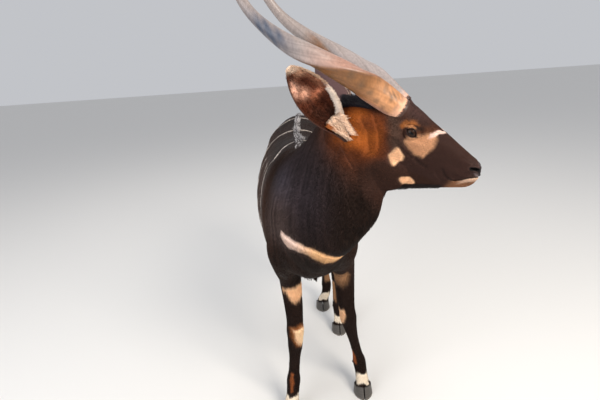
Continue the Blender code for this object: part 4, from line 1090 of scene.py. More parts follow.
def head_colour(local, places, coat):
    u, v, w = local.T
    v = np.abs(v)
    flat = np.c_[u, w]
    edge = 0.0022 * wobble(places, 0.020, 1) + 0.0012 * wobble(places, 0.007, 6)
    on_head = ramp(-0.03, 0.02, head_side(places))
    # Chestnut behind the cheek and down the upper neck, with painted sunlight on its brightest
    # places
    chestnut_and_sunlight = sum(share * haze(u, w, *at) for share, *at in CHESTNUT_AND_SUNLIGHT)
    chestnut_and_sunlight *= 1 + 0.30 * wobble(places * (1, 1, 0.5), 0.050, 4)
    coat.lay(FACE, on_head * ramp(-0.09, -0.02, u))
    coat.lay(ORANGE_DEEP, np.clip(1.7 * chestnut_and_sunlight, 0, 1))
    coat.lay(ORANGE, np.clip(1.7 * (chestnut_and_sunlight - 0.50), 0, 0.95))
    coat.lay(srgb(98, 46, 22), 0.6 * haze(u, w, -0.105, 0.030, -0.030, 0.022))
    nape = ramp(-0.006, 0.010, w) * fall(0.044, 0.064, v)
    nape *= fall(-0.09, -0.05, u)
    coat.lay(BLACK, 0.85 * nape * on_head)
    coat.lay(GRIZZLED, 0.85 * band(flat, DARK_STRIP, 0.016, edge) * on_head)
    # Painted shadow under the back of the jaw
    coat.lay(srgb(32, 21, 17), 0.85 * haze(u, w, -0.035, 0.055, -0.158, 0.036))
    below = ramp(-0.105, -0.125, w) * ramp(-0.10, -0.02, u)
    coat.lay(srgb(58, 36, 27), 0.8 * below * on_head)
    coat.lay(srgb(96, 56, 34), 0.75 * band(flat, TANNED, 0.008, edge) * on_head)
    buff = patch(flat, BUFF_PATCH, 0.008, edge, 0.010) * ramp(0.010, 0.022, v)
    coat.lay(BUFF, 0.97 * buff * on_head)
    marked(coat, flat, EYE_MARKS, edge, on_head * (v > 0.03))
    corner = band(flat, [(0.009, 0.019, 0.005), (0.024, 0.020, 0.007)], 0.006)
    coat.lay(srgb(42, 28, 23), 0.85 * corner * on_head * (v > 0.02))
    crown = ramp(0.030, 0.046, w - 0.25 * np.abs(u)) * ramp(-0.10, -0.06, u)
    coat.lay(srgb(74, 52, 48), 0.8 * crown * on_head)
    bar = band(np.c_[u, v], CHEVRON, 0.0022, 0.5 * edge) * (w > 0.0)
    coat.lay(srgb(234, 204, 190), bar * on_head)
    coat.lay(CREAM, patch(flat, CHEEK_SPOT, 0.0045, 0.7 * edge, 0.006) * on_head)
    coat.lay(CREAM, band(flat, JAW_SPOT, 0.0035, 0.5 * edge) * on_head * (v > 0.012))
    # Muzzle: dark naked nose, pale lips and chin
    muzzle = ramp(0.196, 0.232, u + 0.35 * (w + 0.03))
    coat.lay(srgb(72, 54, 50), 0.7 * muzzle * on_head)
    over = w - mouth_height(u)
    nose = ramp(0.226, 0.236, u + 0.25 * (w + 0.02)) * ramp(0.004, 0.008, over)
    coat.lay(NOSE, nose * on_head)
    away, place = line_distance(flat, MOUTH_LINE)
    chin = ramp(0.165, 0.190, u) * fall(-0.003, 0.001, over + edge)
    coat.lay(srgb(150, 104, 74), 0.85 * chin * on_head)
    lip = ramp(0.190, 0.215, u) * chin * ramp(-0.022, -0.012, over)
    coat.lay(srgb(226, 190, 164), 0.9 * lip * on_head)
    # Painted shade in the gap between the lips
    gap = fall(0.0012, 0.0034, away) * (place < 0.99) * (u > 0.10)
    coat.lay(srgb(26, 17, 15), 0.95 * gap * on_head)
    # Painted shade in the crease at the mouth's corner and in the crease below the buff patch
    for shaded_crease, start, end, shade, share in (
            ([(0.176, -0.086), (0.159, -0.083), (0.148, -0.076), (0.138, -0.066)],
             0.001, 0.009, srgb(34, 23, 20), 0.55),
            ([(0.052, -0.070), (0.069, -0.078), (0.090, -0.080)],
             0.002, 0.008, srgb(40, 27, 23), 0.5)):
        away, _ = line_distance(flat, shaded_crease)
        coat.lay(shade, share * fall(start, end, away) * on_head)
    for hand in (1, -1):
        off = from_eye(local, hand)
        near = np.linalg.norm(off, axis=1) < 0.05
        rim, _ = almond(off)
        coat.lay(srgb(26, 18, 18), fall(1.16, 1.50, rim) * near)
    duct = band(flat, [(0.013, -0.004, 0.004), (0.022, -0.007, 0.0025)], 0.002)
    coat.lay(srgb(34, 24, 22), 0.8 * duct * on_head * (v > 0.03))
    # Painted shade inside the nostrils
    away, _ = line_distance(flat, NOSTRIL_LINE)
    inside = fall(0.0040, 0.0075, away) * ramp(0.008, 0.012, v)
    coat.lay(srgb(12, 9, 9), inside * on_head)
    # Painted glint of light on the wet skin below the nose
    painted_glint = band(flat, [(0.226, -0.034, 0.003), (0.238, -0.038, 0.004)], 0.003)
    coat.lay(srgb(120, 108, 108), 0.6 * painted_glint * on_head * (v > 0.006))


def coat_colour(places):
    """The coat's colour at places of the animal's frame."""
    places = np.asarray(places, float)
    coat = body_colour(places)
    x, y, z = places.T
    edge = 0.0012 * wobble(places, 0.05, 2) + 0.0022 * wobble(places, 0.008, 8)
    edge += 0.030 * ramp(-0.585, -0.500, y)
    crescent = band(np.c_[x, z], CRESCENT, 0.0045, edge) * (y < -0.48)
    tone = mixed(np.tile(srgb(246, 214, 197), (len(places), 1)), srgb(252, 196, 142),
                 ramp(-0.07, 0.03, x))
    coat.lay(tone, crescent)
    coat.lay(STRIPE, 0.93 * stripe_share(places))
    leg_colour(places, coat)
    head_colour(to_head(places), places, coat)
    return coat.colour


# The unwrap: the skin is laid out as one cylinder for each part. Every part has its own
# rectangle of the map: left, bottom, width and height.
SHEETS = {
    "trunk": (0.005, 0.005, 0.590, 0.540),
    "neck": (0.005, 0.555, 0.290, 0.240),
    "head": (0.305, 0.555, 0.290, 0.440),
    "foreleg_right": (0.605, 0.005, 0.190, 0.320),
    "foreleg_left": (0.805, 0.005, 0.190, 0.320),
    "hindleg_right": (0.605, 0.335, 0.190, 0.360),
    "hindleg_left": (0.805, 0.335, 0.190, 0.360),
    "tail": (0.605, 0.705, 0.110, 0.290),
    "crest": (0.005, 0.805, 0.290, 0.190),
    "ears": (0.725, 0.705, 0.270, 0.290),
}
PART_NAMES = list(SHEETS)
LEG_PATHS = {}
for side in SIDES:
    LEG_PATHS["foreleg_" + side] = leg_joints(FORE_JOINTS[side], FORE_HOOVES[side])
    LEG_PATHS["hindleg_" + side] = leg_joints(HIND_JOINTS[side], HIND_HOOVES[side])


def part_of(places):
    """The number of the part that each place belongs to."""
    x, y, z = places.T
    part = np.zeros(len(places), int)
    part[(neck_side(places) > 0) & (z > 0.70)] = PART_NAMES.index("neck")
    part[(head_side(places) > 0) & (neck_side(places) > 0)] = PART_NAMES.index("head")
    fore = (z < 0.66) & (y < -0.10)
    part[fore & (x < 0.03)] = PART_NAMES.index("foreleg_right")
    part[fore & (x >= 0.03)] = PART_NAMES.index("foreleg_left")
    hind = (z < np.interp(y, [0.15, 0.45, 0.60], [0.64, 0.80, 0.92])) & (y > 0.08)
    hind &= (np.abs(x - 0.04) > 0.035) | (z < 0.50)
    right = np.where(z > 0.52, x < 0.04, y > np.interp(z, [0.0, 0.52], [0.34, 0.52]))
    part[hind & right] = PART_NAMES.index("hindleg_right")
    part[hind & ~right] = PART_NAMES.index("hindleg_left")
    part[(y > 0.775) & (z > 0.60)] = PART_NAMES.index("tail")
    return part


def cylinder(places, name):
    """Angle and height, both from 0 to 1, of places round the middle line of a part."""
    if name == "head":
        local = to_head(places)
        turn = np.arctan2(local[:, 1], local[:, 2] + 0.07)
        high = (local[:, 0] + 0.40) / 0.67
    elif name == "neck":
        start, end = np.array((0.030, -0.420, 0.960)), np.array((0.235, -0.690, 1.230))
        axis = (end - start) / np.linalg.norm(end - start)
        out = np.array((1.0, 0, 0)) - axis * axis[0]
        out /= np.linalg.norm(out)
        off = places - start
        turn = np.arctan2(off @ np.cross(axis, out), off @ out)
        high = (off @ axis + 0.15) / 0.72
    elif name == "trunk":
        turn = np.arctan2(places[:, 0], places[:, 2] - 0.93)
        high = (places[:, 1] + 0.66) / 1.48
    elif name == "tail":
        turn = np.arctan2(places[:, 0] - 0.028, places[:, 1] - 0.82)
        high = (places[:, 2] - 0.60) / 0.66
    else:
        path = np.array([list(joint) for joint in LEG_PATHS[name]])[::-1]
        x = np.interp(places[:, 2], path[:, 2], path[:, 0])
        y = np.interp(places[:, 2], path[:, 2], path[:, 1])
        turn = np.arctan2(places[:, 0] - x, places[:, 1] - y)
        high = places[:, 2] / 0.95
    return turn / (2 * math.pi) + 0.5, np.clip(high, 0, 1)


def unwrapped(places, part, centres=None):
    """Places on the map. Where `centres` are given, a place keeps to its face's side of the
    cylinder's seam."""
    out = np.zeros((len(places), 2))
    for number, name in enumerate(PART_NAMES):
        chosen = part == number
        if not chosen.any() or name in ("crest", "ears"):
            continue
        turn, high = cylinder(places[chosen], name)
        if centres is not None:
            middle, _ = cylinder(centres[chosen], name)
            turn = middle + ((turn - middle + 0.5) % 1.0 - 0.5)
        left, bottom, width, height = SHEETS[name]
        out[chosen, 0] = left + width * np.clip(turn, 0, 1)
        out[chosen, 1] = bottom + height * high
    return out


# Meshes out of arrays

def fast_mesh(name, places, faces, colours, maps):
    """A smooth mesh of triangles with a colour at each vertex and a map at each corner."""
    mesh = bpy.data.meshes.new(name)
    mesh.vertices.add(len(places))
    mesh.vertices.foreach_set("co", np.asarray(places, np.float32).ravel())
    mesh.loops.add(faces.size)
    mesh.loops.foreach_set("vertex_index", faces.astype(np.int32).ravel())
    mesh.polygons.add(len(faces))
    mesh.polygons.foreach_set("loop_start", np.arange(0, faces.size, 3, dtype=np.int32))
    mesh.polygons.foreach_set("use_smooth", np.ones(len(faces), bool))
    paint(mesh, colours)
    layer = mesh.uv_layers.new(name="OFBake")
    layer.data.foreach_set("uv", np.asarray(maps, np.float32)[faces.ravel()].ravel())
    mesh.update()
    mesh.validate()
    return mesh


def paint(mesh, colours):
    layer = mesh.color_attributes.new("shade", "FLOAT_COLOR", "POINT")
    full = np.ones((len(mesh.vertices), 4), np.float32)
    full[:, :3] = np.clip(colours, 0, 1)
    layer.data.foreach_set("color", full.ravel())


def show(mesh, name, material, slot, *replaced):
    """The finished piece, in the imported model's frame, on the model's one body."""
    mesh.transform(Matrix.Translation(SHIFT))
    mesh.name = name
    mesh.materials.clear()
    mesh.materials.append(material)
    thing = helper(mesh, name)
    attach(thing, "root")
    if replaced:
        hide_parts(*replaced)
    return thing


# The coat

PATCH = 0.003            # size of a tuft's patch on the map
TUFT_SUNK = 0.0010       # a tuft's root lies this far under the skin
TUFT_RIDGE = 0.35        # share of the length where its ridge stands
TUFT_TINT = 0.16         # how much its colour varies
LOCK_SUNK = 0.004        # a long lock's root lies this far under what it grows from


def unit(vectors):
    return vectors / np.maximum(np.linalg.norm(vectors, axis=1), 1e-9)[:, None]


def tufts(roots, normals, lies, lengths, widths, lift, part):
    """Flat tapered tufts with four triangles: two root corners, a raised ridge and the tip."""
    count = len(roots)
    lies = unit(lies - normals * (lies * normals).sum(axis=1)[:, None])
    sides = np.cross(normals, lies)
    lengths, widths = lengths[:, None], widths[:, None]
    lift = lift[:, None]
    base = roots - normals * TUFT_SUNK
    left = base - sides * widths / 2
    right = base + sides * widths / 2
    ridge = roots + lies * lengths * TUFT_RIDGE + normals * (lift * 0.55 + 0.0004)
    tip = roots + lies * lengths + normals * lift
    places = np.stack([left, right, ridge, tip], axis=1).reshape(-1, 3)
    first = np.arange(count)[:, None] * 4
    faces = np.concatenate([first + (0, 2, 3), first + (2, 1, 3), first + (0, 1, 2),
                            first + (1, 0, 3)], axis=1).reshape(-1, 3)
    shades = coat_colour(places)
    shades = shades * np.repeat(1 + TUFT_TINT * rng.uniform(-1, 1, count), 4)[:, None]
    shades = shades.reshape(count, 4, 3)
    shades[:, :2] *= 0.82
    shades[:, 3] *= 1.07
    at = unwrapped(roots, part)
    corners = np.array(((-0.5, -0.5), (0.5, -0.5), (0.0, -0.1), (0.0, 0.5))) * PATCH
    maps = (at[:, None, :] + corners).reshape(-1, 2)
    return places, faces, shades.reshape(-1, 3), maps


class Skin:
    """The skin's surface, to set roots on."""

    def __init__(self, mesh):
        mesh.calc_loop_triangles()
        self.faces = np.empty(len(mesh.loop_triangles) * 3, np.int32)
        mesh.loop_triangles.foreach_get("vertices", self.faces)
        self.faces = self.faces.reshape(-1, 3)
        self.places = vertex_places(mesh)
        self.normals = vertex_normals(mesh)
        corners = self.places[self.faces]
        self.centres = corners.mean(axis=1)
        spans = np.cross(corners[:, 1] - corners[:, 0], corners[:, 2] - corners[:, 0])
        self.areas = np.linalg.norm(spans, axis=1) / 2
        self.parts = part_of(self.centres)

    def roots(self, chosen, count, density=None):
        """Evenly spread roots on the chosen faces: places, normals and parts."""
        weights = self.areas * chosen
        if density is not None:
            weights = weights * density(self.centres)
        edges = np.cumsum(weights)
        at = (np.arange(count) + rng.uniform(0, 1, count)) / count * edges[-1]
        face = np.minimum(np.searchsorted(edges, at), len(self.faces) - 1)
        a, b = rng.uniform(0, 1, (2, count))
        flip = a + b > 1
        a, b = np.where(flip, 1 - a, a), np.where(flip, 1 - b, b)
        share = np.stack([1 - a - b, a, b], axis=1)[:, :, None]
        corners = self.faces[face]
        places = (self.places[corners] * share).sum(axis=1)
        normals = unit((self.normals[corners] * share).sum(axis=1))
        return places, normals, self.parts[face]


def coat_lie(places, normals):
    """The way the hair lies: back from the nose, down the neck and legs, back on the trunk."""
    _, y, z = places.T
    down = np.tile((0.0, 1.0, -0.45), (len(places), 1))
    for way, share in (((0, 0.35, -1.0), ramp(0.40, 0.70, y)),
                       ((-0.10, 0.25, -1.0), fall(-0.45, -0.25, y)),
                       ((0, 0.12, -1.0), fall(0.60, 0.80, z))):
        down = down * (1 - share[:, None]) + np.array(way) * share[:, None]
    tail = ((y > 0.775) & (z > 0.60))[:, None]
    down = np.where(tail, np.array((0, 0.05, -1.0)), down)
    back = np.array((-1.0, 0, -0.22)) @ HEAD_TURNED.T
    head = ramp(-0.06, 0.05, head_side(places))[:, None] * (neck_side(places) > 0)[:, None]
    down = down * (1 - head) + back * head
    swirl = wobble(places, 0.16, 3)[:, None] * np.cross(normals, unit(down))
    return unit(down) + 0.16 * swirl + rng.normal(size=places.shape) * 0.10


def coat_size(places):
    """Length and width of the tufts at each place."""
    _, y, z = places.T
    local = to_head(places)
    length = np.full(len(places), 0.019)
    length = length + 0.005 * fall(-0.62, -0.45, y) * ramp(0.75, 0.95, z)
    legs = fall(0.45, 0.72, z)
    length = length * (1 - legs) + 0.0125 * legs
    feet = fall(0.07, 0.16, z)
    length = length * (1 - feet) + 0.010 * feet
    head = ramp(-0.07, 0.03, head_side(places)) * (neck_side(places) > 0)
    face = 0.0115 - 0.0065 * ramp(-0.05, 0.20, local[:, 0])
    for hand in (1, -1):
        off = np.linalg.norm(from_eye(local, hand), axis=1)
        face = face * (1 - 0.55 * fall(0.025, 0.045, off))
    length = length * (1 - head) + face * head
    return length, 0.0014 + length * 0.105


def bare(places):
    """0 where no hair grows: the eyes, the nose and the gap of the mouth."""
    local = to_head(places)
    grows = np.ones(len(places))
    for hand in (1, -1):
        off = from_eye(local, hand)
        rim, _ = almond(off)
        near = np.linalg.norm(off, axis=1) < 0.05
        grows[near & (rim < 1.30)] = 0
        horn = local - np.array(HORN_LINE[0]) * (1, hand, 1)
        grows[np.linalg.norm(horn, axis=1) < 0.030] = 0
    u, w = local[:, 0], local[:, 2]
    on_head = head_side(places) > 0
    grows[(u + 0.25 * (w + 0.02) > 0.226) & (w > -0.050) & on_head] = 0
    away, place = line_distance(local[:, [0, 2]], MOUTH_LINE)
    grows[(away < 0.0035) & (u > 0.10) & (place < 0.99) & on_head] = 0
    away, _ = line_distance(local[:, [0, 2]], NOSTRIL_LINE)
    grows[(away < 0.0075) & on_head] = 0
    return grows


# Name, parts, a side of the body and the number of tufts
COATS = [
    ("coat_head", ("head",), 0, 48000),
    ("coat_neck", ("neck",), 0, 46000),
    ("coat_trunk_right", ("trunk",), -1, 48000),
    ("coat_trunk_left", ("trunk",), 1, 48000),
    ("coat_forelegs", ("foreleg_right", "foreleg_left"), 0, 36000),
    ("coat_hindlegs", ("hindleg_right", "hindleg_left", "tail"), 0, 44000),
]


def make_coats(skin, material):
    for name, own, side, count in COATS:
        chosen = np.isin(skin.parts, [PART_NAMES.index(part) for part in own])
        if side:
            chosen &= skin.centres[:, 0] * side > 0

        def density(places, own=own):
            grows = bare(places)
            if own == ("head",):
                grows = grows * (1 + 1.6 * ramp(-0.05, 0.15, to_head(places)[:, 0]))
            if "foreleg_right" in own or "tail" in own:
                grows = grows * (1.6 - 0.6 * ramp(0.3, 0.7, places[:, 2]))
            return grows

        striped = own == ("trunk",)
        places, normals, part = skin.roots(chosen, count * 7 // 8 if striped else count, density)
        lies = coat_lie(places, normals)
        lengths, widths = coat_size(places)
        lengths = lengths * rng.uniform(0.75, 1.2, len(places))
        # A tuft that crosses a marking's border is cut short, so the border stays crisp
        here = coat_colour(places).sum(axis=1)
        along = unit(lies - normals * (lies * normals).sum(axis=1)[:, None])
        for _ in range(2):
            there = coat_colour(places + along * lengths[:, None]).sum(axis=1)
            crosses = np.abs(np.log((here + 0.03) / (there + 0.03))) > 0.55
            lengths = np.where(crosses, lengths * 0.48, lengths)
            widths = np.where(crosses, widths * 0.75, widths)
        if striped:
            spots = skin.roots(chosen, count * 4)
            white = stripe_share(spots[0]) > 0.6
            spots = [values[white][:count // 8] for values in spots]
            run = rng.normal(size=spots[0].shape) * 0.12 + (0, 0.10, -1.0)
            places, normals = np.vstack([places, spots[0]]), np.vstack([normals, spots[1]])
            part, lies = np.concatenate([part, spots[2]]), np.vstack([lies, run])
            more = len(spots[0])
            lengths = np.concatenate([lengths, rng.uniform(0.007, 0.012, more)])
            widths = np.concatenate([widths, np.full(more, 0.0026)])
        lift = 0.0006 + lengths * rng.uniform(0.05, 0.11, len(places))
        if striped:
            lift[-more:] += 0.0006
        made = tufts(places, normals, lies, lengths, widths, lift, part)
        show(fast_mesh(name, *made), name, material, "coat")


# Materials

def set_inputs(node, values):
    for socket, value in values.items():
        node.inputs[socket].default_value = value
    return node


def node_material(name, roughness, bump_scale, bump_depth, shine, coat=0.0, stretch=1.0):
    """A finish whose colour is painted on the mesh, with fine unevenness from noise."""
    made = bpy.data.materials.new(name)
    made.use_nodes = True
    nodes, links = made.node_tree.nodes, made.node_tree.links
    shader = set_inputs(nodes["Principled BSDF"], {
        "Roughness": roughness, "Specular IOR Level": shine, "Coat Weight": coat,
        "Coat Roughness": 0.05})
    shade = nodes.new("ShaderNodeAttribute")
    shade.attribute_name = "shade"
    places = nodes.new("ShaderNodeTexCoord")
    grain = set_inputs(nodes.new("ShaderNodeMapping"), {"Scale": (1, 1, stretch)})
    noise = set_inputs(nodes.new("ShaderNodeTexNoise"), {"Scale": bump_scale, "Detail": 3.0})
    tone = set_inputs(nodes.new("ShaderNodeMapRange"), {
        "From Min": 0.3, "From Max": 0.7, "To Min": 0.86, "To Max": 1.14})
    shaded = nodes.new("ShaderNodeVectorMath")
    shaded.operation = "SCALE"
    bump = set_inputs(nodes.new("ShaderNodeBump"), {"Strength": 0.5, "Distance": bump_depth})
    for start, out, end, socket in (
            (places, "Object", grain, "Vector"), (grain, "Vector", noise, "Vector"),
            (noise, "Fac", tone, "Value"), (shade, "Color", shaded, 0),
            (tone, "Result", shaded, "Scale"), (shaded, "Vector", shader, "Base Color"),
            (noise, "Fac", bump, "Height"), (bump, "Normal", shader, "Normal")):
        links.new(start.outputs[out], end.inputs[socket])
    return made


def toward(shade, other, *shares):
    """The shade, moved towards another by the product of the shares."""
    step = other - shade
    for share in shares:
        step = step * share
    return shade + step


def clamped(value):
    return min(max(value, 0), 1)


def painted(rings, shades):
    """A smooth loft with a colour at each vertex."""
    mesh = loft(rings)
    paint(mesh, np.array(shades))
    mesh.shade_smooth()
    return mesh


# Horns

def keel_turn(share):
    """Where round the horn its keel stands: on top at the foot, then winding once round."""
    return math.radians(float(np.interp(share, [0, 0.10, 0.17, 0.23, 0.30, 0.47, 1.0],
                                        [-6, -2, 12, 40, 72, 168, 330])))


HORN_STREAKS = ((7, 5), (12, -6), (17, 4), (23, -3))   # how many round the horn, and their turn
TAN_FACE, DULL, GREY = srgb(184, 130, 88), srgb(118, 78, 44), srgb(140, 129, 125)
OLIVE, SHADED_SIDE_BLUE, PINK = srgb(84, 66, 48), srgb(70, 76, 90), srgb(236, 184, 156)
CRACK, HORN_SKIN, HORN_TIP = srgb(96, 70, 58), srgb(66, 44, 37), srgb(232, 214, 188)
MAUVE = {"right": srgb(154, 117, 102), "left": srgb(148, 138, 136)}


def horn_reach(share, keel, past):
    """The horn's girth at an angle past its keel: the keels, and growth rings at its foot."""
    behind = math.pi - abs(past)
    grow = 1 - keel * 0.35 + keel * math.exp(-(past / 0.40) ** 2)
    grow += keel * 0.5 * math.exp(-(behind / 0.5) ** 2)
    wear = math.sin(share * 290 + 2 * math.sin(past)) * math.exp(-share * 6)
    wear += 0.6 * math.sin(share * 95 + 3 * math.sin(past + 1)) * math.exp(-share * 3)
    return grow * (1 - 0.012 + 0.007 * wear)


def horn_shade(mauve, share, a, past):
    """The horn's colour at a share of its length and an angle."""
    # Below the keel is a tan face, above and behind it a mauve one
    below = 0.5 + 0.5 * math.tanh(past * 16)
    below *= 0.5 + 0.5 * math.tanh((2.5 - past) * 5)
    below *= 1 - clamped((share - 0.44) / 0.08)
    worn = clamped((share - 0.125) / 0.09)
    aged = clamped((share - 0.30) / 0.14)
    shade = toward(mauve, GREY, aged) * (1 - below)
    shade = shade + toward(TAN_FACE, DULL, worn) * below
    streak = sum(math.sin(past * n + 2.2 * n + share * turn) for n, turn in HORN_STREAKS)
    shade = shade * (1 + 0.045 * streak)
    stain = math.exp(-((share - 0.085) / 0.040) ** 2 - ((past - 0.75) / 0.42) ** 2)
    stain *= 0.6 + 0.4 * math.sin(past * 13 + share * 210)
    shade = toward(shade, OLIVE, below, clamped(stain), 0.9)
    spots = math.sin(share * 41 + 3 * math.cos(past)) * math.sin(share * 97 + past * 2)
    shade = toward(shade, OLIVE, below, max(0, spots), 0.55)
    crack = math.exp(-((past - 0.10 - 0.06 * math.sin(share * 60)) / 0.035) ** 2)
    shade = toward(shade, CRACK, crack, share < 0.44, 0.75)
    shade = toward(shade, PINK, max(0, 1 - share / 0.06), 0.9)
    edge = 0.018 + 0.0012 * math.sin(a * 23 + 4 * math.sin(a * 3))
    shade = toward(shade, HORN_SKIN, clamped((edge - share) / 0.003))
    # Painted shade, bluish, along one side of the horn about halfway to the tip
    far = math.exp(-((share - 0.545) / 0.070) ** 2)
    shaded_side = max(0, math.sin(a - 1.3 + 2.0 * share) * 0.8
                  + 0.20 * math.sin(share * 130 + 4 * a) + 0.20)
    shade = toward(shade, SHADED_SIDE_BLUE, min(1, far * 1.3), min(1, shaded_side))
    shade = toward(shade, HORN_TIP, clamped((share - 0.93) / 0.05))
    return shade * (1 + 0.02 * math.sin(share * 310 + a))


def horn_mesh(side):
    """Keeled sections that turn once round along the horn."""
    stations, sides = ((190, 84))
    line = between(HORN_LINE, stations)
    widths = between([[w] for w in HORN_WIDTHS], stations)[:, 0]
    rings, shades, up = [], [], Vector((0, 0, 1))
    for i, (place, half) in enumerate(zip(line, widths)):
        ahead = Vector(line[min(i + 1, stations - 1)]) - Vector(line[max(i - 1, 0)])
        ahead.normalize()
        up = (up - ahead * up.dot(ahead)).normalized()
        out = ahead.cross(up)
        share = i / (stations - 1)
        keel_at = keel_turn(share)
        keel = 0.30 * math.sin(math.pi * min(share * 1.25 + 0.12, 1)) + 0.02
        ring = []
        for k in range(sides):
            a = 2 * math.pi * k / sides
            past = (a - keel_at + math.pi) % (2 * math.pi) - math.pi
            grow = horn_reach(share, keel, past)
            offset = up * math.cos(a) * half * grow * 1.02 + out * math.sin(a) * half * grow * 0.9
            ring.append(both(Vector(place) + offset, side))
            shades.append(horn_shade(MAUVE[side], share, a, past))
        rings.append(ring)
    return moved(painted(rings, shades), HEAD)


# Ears

def ear_front(share, side="right"):
    """How far round the cup its front edge reaches, as a share of the arc."""
    front = np.interp(share, [0.0, 0.15, 0.31, 0.47, 0.62], [0.42, 0.50, 0.77, 0.93, 1.0])
    return front if side == "right" else 0.6 + 0.4 * front


# Patches in the hollow: place (share of the length, -1 to 1 across), size, colour, strength
EAR_SPOTS = [
    ((0.70, 0.72), (0.14, 0.22), srgb(160, 108, 82), 0.8),
    ((0.88, 0.50), (0.06, 0.50), srgb(206, 160, 130), 1),
    ((0.78, 0.15), (0.07, 0.36), srgb(70, 32, 20), 0.9),
    ((0.90, -0.55), (0.04, 0.40), srgb(66, 30, 18), 0.9),
    ((0.46, 0.20), (0.07, 0.30), srgb(60, 26, 15), 0.9),
    ((0.575, 0.30), (0.035, 0.26), srgb(206, 134, 102), 1),
    ((0.77, -0.66), (0.075, 0.30), srgb(244, 196, 172), 1),
    ((0.66, -0.28), (0.060, 0.26), srgb(232, 176, 148), 1),
    ((0.56, 0.06), (0.05, 0.20), srgb(190, 120, 88), 0.8),
    ((0.36, -0.55), (0.20, 0.50), srgb(58, 32, 22), 0.85),
    ((0.26, 0.10), (0.12, 0.50), srgb(44, 24, 17), 0.85),
]


def ear_inside(share, k):
    """Colour of the cup's hollow."""
    coat = Coat(srgb(94, 46, 28), len(share))
    ripple = np.sin(13 * k + 5 * share) * 0.5 + np.sin(31 * share + 4 * k) * 0.5
    coat.colour *= (1 + 0.16 * ripple)[:, None]
    for at, size, shade, strength in EAR_SPOTS:
        coat.lay(shade, strength * haze(share, k, at[0], size[0], at[1], size[1]))
    edge = ramp(-0.22, -0.15, k - ear_front(share)) * ramp(0.02, 0.12, share)
    edge *= fall(0.52, 0.66, share)
    coat.lay(srgb(238, 214, 196), edge)
    rim = ramp(0.84, 0.97, k) * ramp(0.60, 0.70, share)
    coat.lay(srgb(206, 170, 140), 0.8 * rim)
    coat.lay(srgb(66, 40, 31), 0.8 * ramp(0.86, 0.96, -k))
    coat.lay(srgb(218, 192, 170), ramp(0.90, 0.96, share + 0.03 * k))
    return coat.colour


def ear_outside(share, k):
    # The back of the ear: dark brown fur under a painted mauve sheen of the sky
    coat = Coat(srgb(88, 66, 66), len(share))
    coat.lay(srgb(60, 40, 34), ramp(0.35, 0.05, share))
    coat.lay(srgb(52, 36, 32), ramp(0.70, 0.95, np.abs(k)))
    fringe = 0.8 * ramp(0.05, 0.15, share)
    coat.lay(srgb(226, 204, 184), fringe * ramp(-0.05, 0.0, k - ear_front(share)))
    coat.lay(srgb(196, 170, 152), 0.8 * ramp(0.90, 0.97, share))
    return coat.colour


def ear_mesh(side):
    """The cup: outer and inner face, with the folds inside, and its painted colours."""
    steps, stations = ((46, 84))
    root, axis, face, wide, length = ear_frame(side)
    rings, shares, across, hollow = [], [], [], []
    for share, radius, arc, deep in between(EAR_ROWS, stations):
        arc = math.radians(arc)
        wall = min(0.0052, radius * 0.35)
        centre = root + axis * (share * length) + face * (radius - deep)
        front = float(ear_front(share, side))
        turns = [arc * ((1 + front) * k / steps - 1) for k in range(steps + 1)]
        outer = [centre + wide * (radius - 0.001) * math.sin(t)
                 - face * (radius - 0.001) * math.cos(t) for t in turns]
        inner = []
        for t in turns:
            k = t / arc
            thin = wall * (1 - 0.62 * abs(k) ** 3)
            folds = 0.0020 * math.cos(3.4 * math.pi * (k - 0.10)) + 0.0012 * math.sin(
                7 * math.pi * k + 6 * share)
            reach = radius - thin - 0.0012 + folds * math.exp(-((share - 0.42) / 0.30) ** 2) * (
                1 - k * k)
            inner.append(centre + wide * reach * math.sin(t) - face * reach * math.cos(t))
        rings.append(outer + list(reversed(inner)))
        shares += [share] * (2 * steps + 2)
        across += [t / arc for t in turns] + [t / arc for t in reversed(turns)]
        hollow += [False] * (steps + 1) + [True] * (steps + 1)
    shares, across, hollow = np.array(shares), np.array(across), np.array(hollow)
    k = np.where(across > 0, across * ear_front(shares) / ear_front(shares, side), across)
    if side == "left":
        k = np.where(shares < 0.34, np.minimum(k, 0.2), k)
    shades = np.where(hollow[:, None], ear_inside(shares, k), ear_outside(shares, k))
    return moved(painted(rings, shades), HEAD), (rings, shares, across)


# Hooves

HOOF_GREY, HOOF_WORN, HOOF_SKIN = srgb(76, 72, 68), srgb(120, 112, 102), srgb(40, 34, 32)


def claw_mesh(middle, side_sign):
    """One half hoof with a rounded rim, growth rings and a worn edge."""
    half_length = HOOF_LENGTH / 2
    outline = [(-0.96, 0.10), (-0.70, 0.50), (-0.25, 0.86), (0.30, 0.98), (0.75, 0.86),
               (0.98, 0.45), (0.98, 0.04), (0.30, 0.00), (-0.40, 0.00), (-0.90, 0.00)]
    smooth_outline = between(outline + [outline[0]], 41)[:-1]
    rings, shades = [], []
    levels = [0.0, 0.0, 0.03, 0.10, 0.2, 0.3, 0.4, 0.5, 0.6, 0.7, 0.8, 0.88, 0.95, 1.0, 1.0]
    for n, share in enumerate(levels):
        ring = []
        tuck = {0: 0.94, 1: 0.99, len(levels) - 1: 0.90}.get(n, 1.0)
        ring_mark = 1 + 0.010 * math.sin(share * 40)
        for along, across in smooth_outline:
            y = along * half_length
            y = y * (1 - 0.20 * share) + 0.014 * share
            x = max(across, 0.0) * CLAW_WIDTH * (1 - 0.10 * share)
            x, y = x * tuck * ring_mark - 0.0006, y * tuck * ring_mark
            top = CORONET - CORONET_SLOPE * y - 0.0002
            ring.append(Vector((side_sign * (x + 0.0030), y, top * share)))
            grey = HOOF_GREY * (1 + 0.16 * math.sin(share * 34 + along * 3))
            grey = toward(grey, HOOF_WORN, max(0, 1 - share / 0.18), 0.6)
            shades.append(toward(grey, HOOF_SKIN, max(0, (share - 0.90) / 0.10), 0.8))
        rings.append(ring)
    mesh = painted(rings, shades)
    mesh.set_sharp_from_angle(angle=math.radians(48))
    return moved(mesh, Matrix.Translation(middle))


